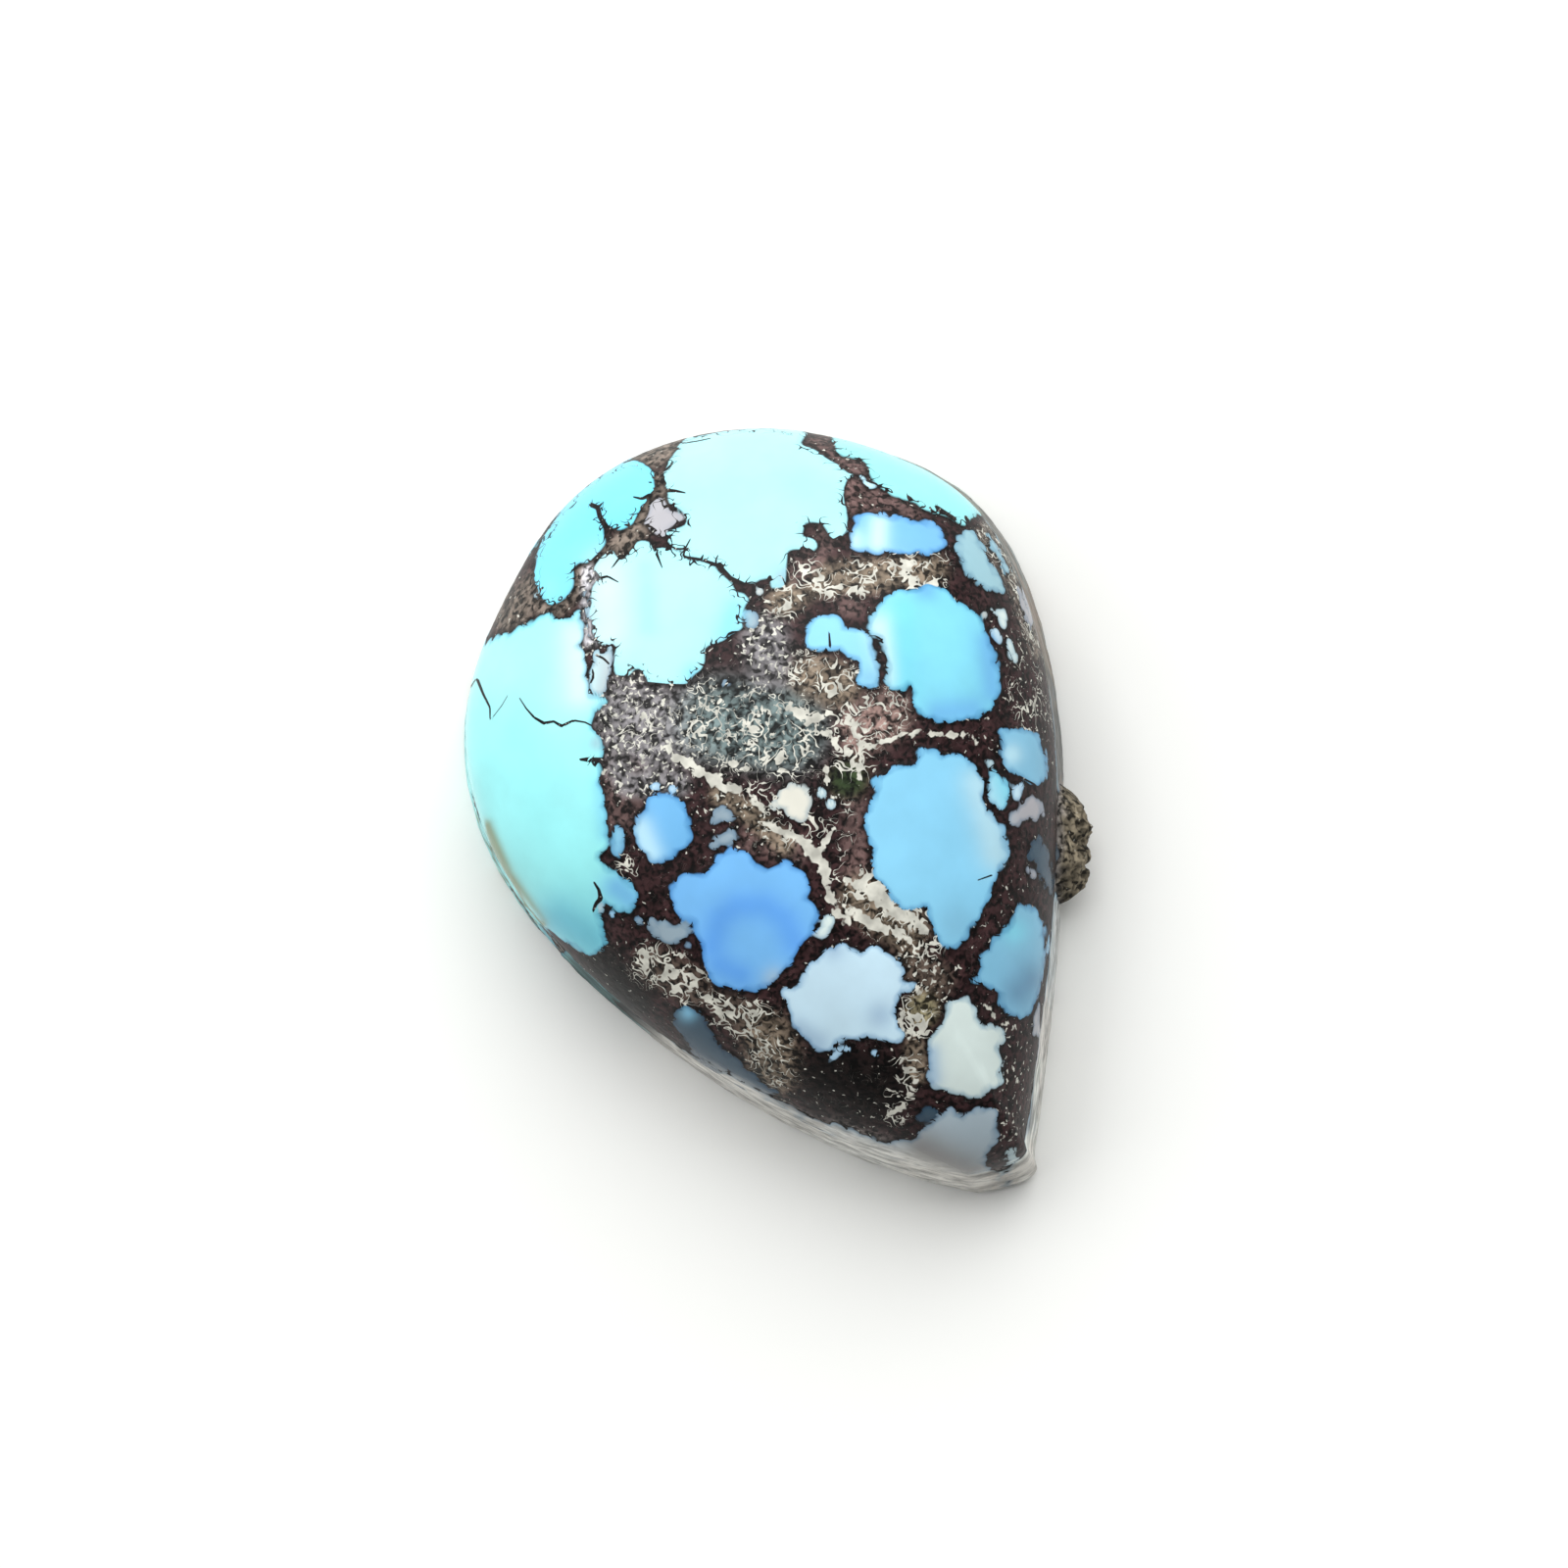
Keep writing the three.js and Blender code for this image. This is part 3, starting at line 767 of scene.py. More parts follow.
def stone_mesh(settings):
    """The closed stone as one skin: a grid for the dome, its edge drawn down the wall and under the back."""
    form = bmesh.new()
    section = form.verts.layers.float.new("section")
    turn = form.verts.layers.float.new("turn")
    bmesh.ops.create_grid(form, x_segments=DOME_FACES[0], y_segments=DOME_FACES[1], size=1.0)
    for vert in form.verts:
        vert[section], vert[turn] = square_to_disc(vert.co.x, vert.co.y)
    edge = [e for e in form.edges if e.is_boundary]
    for stop in ring_stops():
        drawn = bmesh.ops.extrude_edge_only(form, edges=edge)["geom"]
        ring = [g for g in drawn if isinstance(g, bmesh.types.BMVert)]
        for vert in ring:
            vert[section] = stop
        edge = [g for g in drawn if isinstance(g, bmesh.types.BMEdge) and g.is_boundary]
    bmesh.ops.pointmerge(form, verts=ring, merge_co=(0.0, 0.0, 0.0))
    form.verts.ensure_lookup_table()
    sections = np.array([v[section] for v in form.verts])
    angles = np.array([v[turn] for v in form.verts])
    places = stone_points(sections, angles, settings)
    for vert, place in zip(form.verts, places):
        vert.co = place
    bmesh.ops.recalc_face_normals(form, faces=form.faces)
    mesh = bpy.data.meshes.new(NODE)
    form.to_mesh(mesh)
    form.free()
    mesh.shade_smooth()
    return mesh, sections


# Pattern of the stone

def wander(points, grain_mm, seed):
    """Smooth noise from about -1 to 1 at each point, with features of a size in millimetres."""
    places = points / (grain_mm * MM) + seed
    return np.array([noise.noise(p) for p in places.tolist()])


def rounded(points, steps=4):
    """A closed smooth curve through an outline's points."""
    p = np.array(points, float)
    before, after, later = np.roll(p, 1, 0), np.roll(p, -1, 0), np.roll(p, -2, 0)
    curve = []
    for t in np.arange(steps) / steps:
        curve.append(0.5 * (2 * p + (after - before) * t + (2 * before - 5 * p + 4 * after - later) * t ** 2
                            + (3 * p - before - 3 * after + later) * t ** 3))
    return np.stack(curve, axis=1).reshape(-1, 2)


def segment_distance(pixels, start, end):
    """Distance in pixels from a straight stretch."""
    way = end - start
    share = np.clip(((pixels - start) @ way) / max(way @ way, 1e-9), 0.0, 1.0)
    return np.linalg.norm(pixels - start - share[:, None] * way, axis=1)


def path_distance(pixels, path):
    """Distance in pixels from a stroke's path, or from its one point."""
    points = np.array(path, float)
    ends = points[1:] if len(points) > 1 else points
    return np.min([segment_distance(pixels, a, b) for a, b in zip(points, ends)], axis=0)


def near_path(pixels, points, margin):
    """Which pixels lie within a margin of a path's box."""
    return np.all((pixels > points.min(0) - margin) & (pixels < points.max(0) + margin), axis=1)


def depth_inside(pixels, points, margin=60.0):
    """How far inside an outline each pixel lies, and below zero how far outside, to a margin."""
    corners = rounded(points)
    near = near_path(pixels, corners, margin)
    spots = pixels[near]
    inside = np.zeros(len(spots), bool)
    distance = np.full(len(spots), margin)
    for start, end in zip(corners, np.roll(corners, -1, 0)):
        distance = np.minimum(distance, segment_distance(spots, start, end))
        spans = (start[1] > spots[:, 1]) != (end[1] > spots[:, 1])
        rise = end[1] - start[1] if end[1] != start[1] else 1e-9
        crossing = start[0] + (spots[:, 1] - start[1]) * (end[0] - start[0]) / rise
        inside ^= spans & (spots[:, 0] < crossing)
    depth = np.full(len(pixels), -margin)
    depth[near] = np.where(inside, distance, -distance)
    return depth


def beside_line(pixels, line, margin=20.0):
    """Distance from a line, with a sign for its side, and the line's half width there, in pixels."""
    points = np.array(line, float)
    near = near_path(pixels, points[:, :2], margin)
    spots = pixels[near]
    side = np.full(len(spots), margin)
    reach = np.zeros(len(spots))
    for start, end in zip(points, points[1:]):
        way = end[:2] - start[:2]
        along = ((spots - start[:2]) @ way) / (way @ way)
        share = np.clip(along, 0.0, 1.0)
        apart = spots - start[:2] - share[:, None] * way
        distance = np.linalg.norm(apart, axis=1)
        left = way[0] * apart[:, 1] - way[1] * apart[:, 0] < 0.0
        beyond = np.abs(along - share) * np.linalg.norm(way)
        closer = distance < np.abs(side)
        side = np.where(closer, np.where(left, -distance, distance), side)
        reach = np.where(closer, start[2] + share * (end[2] - start[2]) - beyond, reach)
    all_sides = np.full(len(pixels), margin)
    all_reaches = np.zeros(len(pixels))
    all_sides[near], all_reaches[near] = side, reach
    return all_sides, all_reaches


def nearest_line(pixels, lines):
    """For each pixel, the signed distance from the line nearest to it, and that line's half width."""
    beside = [beside_line(pixels, line) for line in lines]
    sides, reaches = (np.array(values) for values in zip(*beside))
    nearest = np.argmin(np.abs(sides), axis=0)
    every = np.arange(len(pixels))
    return sides[nearest, every], reaches[nearest, every]


def brush(colours, pixels, strokes, settings, strength, firmness=SOFT_EDGE):
    """Colours with strokes of other tones laid over them."""
    for stroke in strokes:
        weight = strength * np.exp(-(path_distance(pixels, stroke.path) / stroke.reach) ** firmness)
        colours = colours + weight[:, None] * (np.array(getattr(settings, stroke.value)) - colours)
    return colours


def strongest(pixels, strokes, least):
    """The strongest of several strokes at each pixel, and nowhere less than the least."""
    strength = np.full(len(pixels), least)
    for stroke in strokes:
        weight = stroke.value * np.exp(-(path_distance(pixels, stroke.path) / stroke.reach) ** FIRM_EDGE)
        strength = np.maximum(strength, weight)
    return strength


class Pattern:
    """What the stone is made of at each point, with depths and distances in millimetres."""

    def __init__(self, points, sections, settings):
        below = np.clip(FOOT_HEIGHT - points[:, 2] / MM, 0.0, None)
        ways = [wander(points, 1.3, seed) + wander(points, 0.5, seed) for seed in (3.0, 17.0)]
        drift = np.stack(ways, axis=1)
        seen = photo_pixels(points, settings)
        self.pixels = seen + FOOT_DRIFT * below[:, None] * drift
        self.edge_pixels = seen + EDGE_DRIFT * below[:, None] * drift
        self.steep = np.clip(below, 0.0, 1.0)
        self.edge = np.clip((sections - 0.99) / 0.06, 0.0, 1.0)
        self.edge = np.maximum(self.edge, strongest(self.pixels, GROUND_FACETS, 0.0))
        self.wobble = 0.03 * wander(points, 0.3, 5.0)
        self.lay_patches(settings)
        self.lay_web(settings)
        self.grind_edge(settings)

    def lay_patches(self, settings):
        """The nearest patch at each point, its tones, and the hairlines of the web in it."""
        depths = [depth_inside(self.pixels, patch.outline) for patch in PATCHES]
        for bead in BEADS:
            gaps = [path_distance(self.pixels, (place,)) for place in bead.places]
            depths.append(bead.radius - np.min(gaps, axis=0))
        owner = np.argmax(depths, axis=0)
        self.depth = MM_PER_PIXEL * np.max(depths, axis=0) + self.wobble
        styles = [patch.style for patch in PATCHES] + [SCALLOPED] * len(BEADS)
        self.lobes, self.spurs, self.rim = np.array(styles)[owner].T
        self.spurs = self.spurs * (1.0 - 0.9 * self.steep)
        tones = np.array([getattr(settings, piece.tone) for piece in PATCHES + BEADS])
        self.patch = brush(tones[owner], self.pixels, PATCH_TINTS, settings, TINT_STRENGTH)
        side, reach = nearest_line(self.pixels, WEB_LINES)
        self.line_side, self.line_reach = MM_PER_PIXEL * side, MM_PER_PIXEL * reach

    def lay_web(self, settings):
        """The web's colours, how thickly pale flecks and grains lie on it, and its ivory veins."""
        plain = np.tile(np.array(settings.web), (len(self.pixels), 1))
        self.web = brush(plain, self.pixels, WEB_TINTS, settings, WEB_STRENGTH, FIRM_EDGE)
        self.fleck = strongest(self.pixels, FLECKS, FEWEST_FLECKS)
        self.salt = strongest(self.pixels, SALTS, FEWEST_SALT)
        beside = [beside_line(self.pixels, vein) for vein in IVORY_VEINS]
        self.vein = MM_PER_PIXEL * np.max([reach - np.abs(side) for side, reach in beside], axis=0)

    def grind_edge(self, settings):
        """Dulls the colours on the ground edge and the back, and covers the web where the edge is tinted."""
        frost = np.array(settings.frost)
        dull = self.edge[:, None]
        self.patch = self.patch + 0.2 * dull * (frost - self.patch)
        self.web = self.web + 0.2 * dull * (frost - self.web)
        tinted = brush(self.patch, self.edge_pixels, EDGE_TINTS, settings, TINT_STRENGTH)
        self.patch = self.patch + dull * (tinted - self.patch)
        plain = [Stroke(1.0, stroke.reach, stroke.path) for stroke in EDGE_TINTS]
        cover = self.edge * strongest(self.edge_pixels, plain, 0.0)
        self.depth = np.maximum(self.depth, 0.4 * cover - 0.2)

    def add_crust(self, cover, settings):
        """Turns the points that the crust covers to raw rock."""
        covered = cover > 0.0
        self.depth = np.where(covered, -0.3, self.depth)
        self.vein = np.where(covered, -0.3, self.vein)
        self.edge = np.where(covered, 1.0, self.edge)
        rock = np.array(settings.crust)
        self.web = self.web + np.clip(cover, 0.0, 1.0)[:, None] * (rock - self.web)


def crust_reach(points, normals, settings):
    """How far the crust of host rock stands out of the wall at each point, in metres."""
    centre = np.array(head_centre(settings)) + np.array(CRUST_PLACE) * MM
    size = np.array(CRUST_SIZE) * MM
    turn = np.array(Matrix.Rotation(CRUST_ALONG_FLANK, 3, "Z"))
    spots = (points - centre) @ turn.T / size
    ways = normals @ turn.T / size
    along = np.einsum("ij,ij->i", spots, ways)
    steep = np.einsum("ij,ij->i", ways, ways)
    inner = along ** 2 - steep * (np.einsum("ij,ij->i", spots, spots) - 1.0)
    reach = (np.sqrt(np.clip(inner, 0.0, None)) - along) / steep
    covered = np.einsum("ij,ij->i", spots, spots) < 1.0
    return np.where(covered, reach, 0.0)


def relief(points, sections, pattern, crust, settings):
    """How far each point stands out: the worn web, the uneven ground edge and the crust, with a flat back."""
    on_web = 1.0 - np.clip(pattern.depth / 0.05 + 0.5, 0.0, 1.0)
    on_wall = pattern.edge * np.clip(3.0 - sections, 0.0, 1.0)
    grain = 0.6 * wander(points, 0.19, 21.0) + 0.6 * wander(points, 0.11, 33.0)
    chips = wander(points, 0.5, 41.0) + 0.6 * wander(points, 0.21, 47.0)
    worn = on_web * (settings.web_grain * grain - settings.web_depth)
    raised = worn + on_wall * settings.edge_chips * chips + crust * (1.0 + 0.3 * chips + 0.25 * grain)
    return np.where(sections >= 3.0, 0.0, raised)


def store(mesh, name, kind, values):
    """Keeps one value or colour for each point of the mesh."""
    layer = mesh.attributes.new(name, kind, "POINT")
    if kind == "FLOAT_COLOR":
        values = np.hstack([values, np.ones((len(values), 1))])
    layer.data.foreach_set("color" if kind == "FLOAT_COLOR" else "value", values.astype(np.float32).ravel())


def model_stone(settings):
    """The stone's mesh, with its relief and what it is made of at each point."""
    mesh, sections = stone_mesh(settings)
    points = np.empty(3 * len(mesh.vertices))
    mesh.vertices.foreach_get("co", points)
    points = points.reshape(-1, 3)
    normals = np.array([n.vector for n in mesh.vertex_normals])
    pattern = Pattern(points, sections, settings)
    crust = crust_reach(points, normals, settings)
    pattern.add_crust(crust / (CRUST_SKIN * MM), settings)
    out = relief(points, sections, pattern, crust, settings)
    mesh.vertices.foreach_set("co", (points + out[:, None] * normals).ravel())
    values = {
        "patch_depth": pattern.depth, "lobes": pattern.lobes, "spurs": pattern.spurs, "rim": pattern.rim,
        "line_side": pattern.line_side, "line_gap": np.abs(pattern.line_side),
        "line_reach": pattern.line_reach, "vein_depth": pattern.vein, "fleck": pattern.fleck,
        "salt": pattern.salt, "ground": pattern.edge,
    }
    for name, each in values.items():
        store(mesh, name, "FLOAT", each)
    store(mesh, "patch_colour", "FLOAT_COLOR", pattern.patch)
    store(mesh, "web_colour", "FLOAT_COLOR", pattern.web)
    mesh.update()
    return mesh


# Materials

MIX_A, MIX_B, MIX_RESULT = 6, 7, 2


def add_node(tree, kind, inputs=(), **settings):
    """Adds a node with its settings, and gives each input a value or a link."""
    node = tree.nodes.new(kind)
    for name, value in settings.items():
        setattr(node, name, value)
    for key, value in dict(inputs).items():
        if isinstance(value, bpy.types.NodeSocket):
            tree.links.new(value, node.inputs[key])
        else:
            node.inputs[key].default_value = value
    return node


def per_mm(size):
    """A pattern's scale, from the size of its features in millimetres."""
    return 1.0 / (size * MM)


def new_material(name):
    """An empty material and its node tree."""
    material = bpy.data.materials.new(name)
    material.use_nodes = True
    material.node_tree.nodes.clear()
    return material, material.node_tree


def shaped_depth(tree, place):
    """Depth in a patch in millimetres, where rounded lobes have shaped its edge."""
    drawn = add_node(tree, "ShaderNodeAttribute", attribute_name="patch_depth")
    lobes = add_node(tree, "ShaderNodeAttribute", attribute_name="lobes")
    cells = add_node(tree, "ShaderNodeTexVoronoi", {"Vector": place, "Scale": per_mm(LOBE_SIZE)})
    bulge = add_node(tree, "ShaderNodeMath", {0: 0.45, 1: cells.outputs["Distance"]}, operation="SUBTRACT")
    return add_node(tree, "ShaderNodeMath", {
        0: bulge.outputs[0], 1: lobes.outputs["Fac"], 2: drawn.outputs["Fac"]},
        operation="MULTIPLY_ADD").outputs[0]


def web_spurs(tree, place, depth):
    """Share of the thin spurs that the web sends into a patch from its edge."""
    length_mm = add_node(tree, "ShaderNodeAttribute", attribute_name="spurs")
    threads = add_node(tree, "ShaderNodeTexNoise", {
        "Vector": place, "Scale": per_mm(SPUR_SIZE), "Detail": 1.0, "Distortion": 0.4})
    apart = add_node(tree, "ShaderNodeMath", {0: threads.outputs["Fac"], 1: 0.5}, operation="SUBTRACT")
    apart = add_node(tree, "ShaderNodeMath", {0: apart.outputs[0]}, operation="ABSOLUTE")
    width = add_node(tree, "ShaderNodeMapRange", {
        "Value": depth, "From Min": 0.0, "From Max": length_mm.outputs["Fac"],
        "To Min": 0.04, "To Max": -0.01})
    inside = add_node(tree, "ShaderNodeMath", {0: width.outputs["Result"], 1: apart.outputs[0]},
                      operation="SUBTRACT")
    return add_node(tree, "ShaderNodeMapRange", {
        "Value": inside.outputs[0], "From Min": 0.0, "From Max": 0.01}).outputs["Result"]


def hairlines(tree):
    """Share of the web's hairlines, which are finer than the mesh and so drawn from their distance."""
    side = add_node(tree, "ShaderNodeAttribute", attribute_name="line_side")
    gap = add_node(tree, "ShaderNodeAttribute", attribute_name="line_gap")
    reach = add_node(tree, "ShaderNodeAttribute", attribute_name="line_reach")
    apart = add_node(tree, "ShaderNodeMath", {0: side.outputs["Fac"]}, operation="ABSOLUTE")
    inside = add_node(tree, "ShaderNodeMath", {0: reach.outputs["Fac"], 1: apart.outputs[0]},
                      operation="SUBTRACT")
    crisp = add_node(tree, "ShaderNodeMapRange", {
        "Value": inside.outputs[0], "From Min": -0.006, "From Max": 0.006})
    close = add_node(tree, "ShaderNodeMapRange", {
        "Value": gap.outputs["Fac"], "From Min": 0.10, "From Max": 0.13, "To Min": 1.0, "To Max": 0.0})
    return add_node(tree, "ShaderNodeMath", {0: crisp.outputs["Result"], 1: close.outputs["Result"]},
                    operation="MULTIPLY").outputs[0]


def patch_share(tree, place, depth):
    """Where turquoise shows: inside the patches, but not on the web's spurs and hairlines."""
    inside = add_node(tree, "ShaderNodeMapRange", {"Value": depth, "From Min": -0.016, "From Max": 0.022})
    cut = add_node(tree, "ShaderNodeMath", {0: web_spurs(tree, place, depth), 1: hairlines(tree)},
                   operation="MAXIMUM")
    kept = add_node(tree, "ShaderNodeMath", {0: 1.0, 1: cut.outputs[0]}, operation="SUBTRACT")
    return add_node(tree, "ShaderNodeMath", {0: inside.outputs["Result"], 1: kept.outputs[0]},
                    operation="MULTIPLY").outputs[0]


def patch_colour(tree, place, depth):
    """Turquoise with faint clouds, and a deeper and bluer rim."""
    base = add_node(tree, "ShaderNodeAttribute", attribute_name="patch_colour")
    rim = add_node(tree, "ShaderNodeAttribute", attribute_name="rim")
    clouds = add_node(tree, "ShaderNodeTexNoise", {
        "Vector": place, "Scale": per_mm(CLOUD_SIZE), "Detail": 3.0})
    shade = add_node(tree, "ShaderNodeMapRange", {
        "Value": clouds.outputs["Fac"], "From Min": 0.3, "From Max": 0.7, "To Min": 0.94, "To Max": 1.05})
    clouded = add_node(tree, "ShaderNodeMix", {
        0: 1.0, MIX_A: base.outputs["Color"], MIX_B: shade.outputs["Result"]},
        data_type="RGBA", blend_type="MULTIPLY")
    near_edge = add_node(tree, "ShaderNodeMapRange", {
        "Value": depth, "From Min": 0.0, "From Max": 0.14, "To Min": 1.0, "To Max": 0.0},
        interpolation_type="SMOOTHSTEP")
    rim_here = add_node(tree, "ShaderNodeMath", {0: near_edge.outputs["Result"], 1: rim.outputs["Fac"]},
                        operation="MULTIPLY")
    return add_node(tree, "ShaderNodeMix", {
        0: rim_here.outputs[0], MIX_A: clouded.outputs[MIX_RESULT], MIX_B: (0.3, 0.46, 0.62, 1.0)},
        data_type="RGBA", blend_type="MULTIPLY").outputs[MIX_RESULT]


def web_grains(tree, place, depth):
    """The web's own colour, broken into dark and lighter grains, and darkest beside the patches."""
    base = add_node(tree, "ShaderNodeAttribute", attribute_name="web_colour")
    mottles = add_node(tree, "ShaderNodeTexNoise", {
        "Vector": place, "Scale": per_mm(MOTTLE_SIZE), "Detail": 2.0})
    mottle = add_node(tree, "ShaderNodeMapRange", {
        "Value": mottles.outputs["Fac"], "From Min": 0.3, "From Max": 0.7, "To Min": 0.6, "To Max": 1.4})
    grains = add_node(tree, "ShaderNodeTexNoise", {
        "Vector": place, "Scale": per_mm(GRAIN_SIZE), "Detail": 1.5, "Distortion": 0.5})
    grain = add_node(tree, "ShaderNodeMapRange", {
        "Value": grains.outputs["Fac"], "From Min": 0.38, "From Max": 0.62, "To Min": 0.12, "To Max": 2.0})
    halo = add_node(tree, "ShaderNodeMapRange", {
        "Value": depth, "From Min": -0.1, "From Max": -0.01, "To Min": 1.0, "To Max": 0.2})
    shade = add_node(tree, "ShaderNodeMath", {0: mottle.outputs["Result"], 1: grain.outputs["Result"]},
                     operation="MULTIPLY")
    shade = add_node(tree, "ShaderNodeMath", {0: shade.outputs[0], 1: halo.outputs["Result"]},
                     operation="MULTIPLY")
    return add_node(tree, "ShaderNodeMix", {
        0: 1.0, MIX_A: base.outputs["Color"], MIX_B: shade.outputs[0]},
        data_type="RGBA", blend_type="MULTIPLY").outputs[MIX_RESULT]


def pale_worms(tree, place):
    """Share of the pale worm-shaped flecks on the web."""
    fleck = add_node(tree, "ShaderNodeAttribute", attribute_name="fleck")
    worms = add_node(tree, "ShaderNodeTexNoise", {
        "Vector": place, "Scale": per_mm(WORM_SIZE), "Detail": 1.0, "Distortion": 0.9})
    apart = add_node(tree, "ShaderNodeMath", {0: worms.outputs["Fac"], 1: 0.5}, operation="SUBTRACT")
    apart = add_node(tree, "ShaderNodeMath", {0: apart.outputs[0]}, operation="ABSOLUTE")
    clumps = add_node(tree, "ShaderNodeTexNoise", {"Vector": place, "Scale": per_mm(CLUMP_SIZE), "Detail": 1.0})
    width = add_node(tree, "ShaderNodeMapRange", {
        "Value": clumps.outputs["Fac"], "From Min": 0.32, "From Max": 0.6, "To Min": -0.01, "To Max": 0.085})
    width = add_node(tree, "ShaderNodeMath", {0: width.outputs["Result"], 1: fleck.outputs["Fac"]},
                     operation="MULTIPLY")
    inside = add_node(tree, "ShaderNodeMath", {0: width.outputs[0], 1: apart.outputs[0]},
                      operation="SUBTRACT")
    return add_node(tree, "ShaderNodeMapRange", {
        "Value": inside.outputs[0], "From Min": 0.0, "From Max": 0.015}).outputs["Result"]


def pale_salt(tree, place):
    """Share of the pale uneven grains on the web."""
    salt = add_node(tree, "ShaderNodeAttribute", attribute_name="salt")
    crumbs = add_node(tree, "ShaderNodeTexNoise", {
        "Vector": place, "Scale": per_mm(SALT_SIZE), "Detail": 1.0, "Distortion": 0.6})
    raised = add_node(tree, "ShaderNodeMath", {
        0: salt.outputs["Fac"], 1: 0.14, 2: crumbs.outputs["Fac"]}, operation="MULTIPLY_ADD")
    return add_node(tree, "ShaderNodeMapRange", {
        "Value": raised.outputs[0], "From Min": 0.71, "From Max": 0.77}).outputs["Result"]


def ivory_veins(tree, place):
    """Share of the ragged ivory veins in the web."""
    vein = add_node(tree, "ShaderNodeAttribute", attribute_name="vein_depth")
    ragged = add_node(tree, "ShaderNodeTexNoise", {
        "Vector": place, "Scale": per_mm(RAGGED_SIZE), "Detail": 1.0})
    bulge = add_node(tree, "ShaderNodeMath", {0: ragged.outputs["Fac"], 1: 0.5}, operation="SUBTRACT")
    depth = add_node(tree, "ShaderNodeMath", {0: bulge.outputs[0], 1: 0.3, 2: vein.outputs["Fac"]},
                     operation="MULTIPLY_ADD")
    return add_node(tree, "ShaderNodeMapRange", {
        "Value": depth.outputs[0], "From Min": -0.005, "From Max": 0.02}).outputs["Result"]


def web_colour(tree, place, depth, settings):
    """The granular web with its pale flecks, grains and veins."""
    pale = add_node(tree, "ShaderNodeMath", {0: pale_worms(tree, place), 1: pale_salt(tree, place)},
                    operation="MAXIMUM")
    pale = add_node(tree, "ShaderNodeMath", {0: pale.outputs[0], 1: ivory_veins(tree, place)},
                    operation="MAXIMUM")
    shades = add_node(tree, "ShaderNodeTexNoise", {"Vector": place, "Scale": per_mm(SHADE_SIZE), "Detail": 2.0})
    shade = add_node(tree, "ShaderNodeMapRange", {
        "Value": shades.outputs["Fac"], "From Min": 0.35, "From Max": 0.65, "To Min": 0.6, "To Max": 1.0})
    ivory = add_node(tree, "ShaderNodeMix", {
        0: 1.0, MIX_A: (*settings.ivory, 1.0), MIX_B: shade.outputs["Result"]},
        data_type="RGBA", blend_type="MULTIPLY")
    return add_node(tree, "ShaderNodeMix", {
        0: pale.outputs[0], MIX_A: web_grains(tree, place, depth), MIX_B: ivory.outputs[MIX_RESULT]},
        data_type="RGBA").outputs[MIX_RESULT]


def ground_streaks(tree, place, colour, ground):
    """The colour with fine streaks along the ground edge, as a grinding wheel leaves them."""
    squeezed = add_node(tree, "ShaderNodeMapping", {"Vector": place, "Scale": (1.0, 1.0, 3.0)})
    streaks = add_node(tree, "ShaderNodeTexNoise", {
        "Vector": squeezed.outputs["Vector"], "Scale": per_mm(STREAK_SIZE), "Detail": 4.0,
        "Roughness": 0.65})
    shade = add_node(tree, "ShaderNodeMapRange", {
        "Value": streaks.outputs["Fac"], "From Min": 0.35, "From Max": 0.62, "To Min": 0.45, "To Max": 1.25})
    return add_node(tree, "ShaderNodeMix", {0: ground, MIX_A: colour, MIX_B: shade.outputs["Result"]},
                    data_type="RGBA", blend_type="MULTIPLY").outputs[MIX_RESULT]


def stone_material(settings):
    """Polished turquoise with web matrix: glossy blue patches with crisp edges, in a duller granular web."""
    material, tree = new_material("turquoise_polished_with_web_matrix")
    place = add_node(tree, "ShaderNodeTexCoord").outputs["Object"]
    ground = add_node(tree, "ShaderNodeAttribute", attribute_name="ground").outputs["Fac"]
    depth = shaped_depth(tree, place)
    share = patch_share(tree, place, depth)
    mixed = add_node(tree, "ShaderNodeMix", {
        0: share, MIX_A: web_colour(tree, place, depth, settings), MIX_B: patch_colour(tree, place, depth)},
        data_type="RGBA")
    colour = ground_streaks(tree, place, mixed.outputs[MIX_RESULT], ground)
    polish = add_node(tree, "ShaderNodeMapRange", {"Value": share, "To Min": 0.45, "To Max": 0.22})
    roughness = add_node(tree, "ShaderNodeMath", {0: ground, 1: 0.4, 2: polish.outputs["Result"]},
                         operation="MULTIPLY_ADD")
    pits = add_node(tree, "ShaderNodeTexNoise", {"Vector": place, "Scale": per_mm(PIT_SIZE), "Detail": 2.0})
    pitted = add_node(tree, "ShaderNodeMapRange", {"Value": share, "To Min": 1.0, "To Max": 0.02})
    height = add_node(tree, "ShaderNodeMath", {0: pits.outputs["Fac"], 1: pitted.outputs["Result"]},
                      operation="MULTIPLY")
    bump = add_node(tree, "ShaderNodeBump", {
        "Strength": 0.4, "Distance": 0.015 * MM, "Height": height.outputs[0]})
    shader = add_node(tree, "ShaderNodeBsdfPrincipled", {
        "Base Color": colour, "Roughness": roughness.outputs[0], "IOR": 1.61, "Specular IOR Level": 0.12,
        "Normal": bump.outputs["Normal"]})
    add_node(tree, "ShaderNodeOutputMaterial", {"Surface": shader.outputs["BSDF"]})
    return material


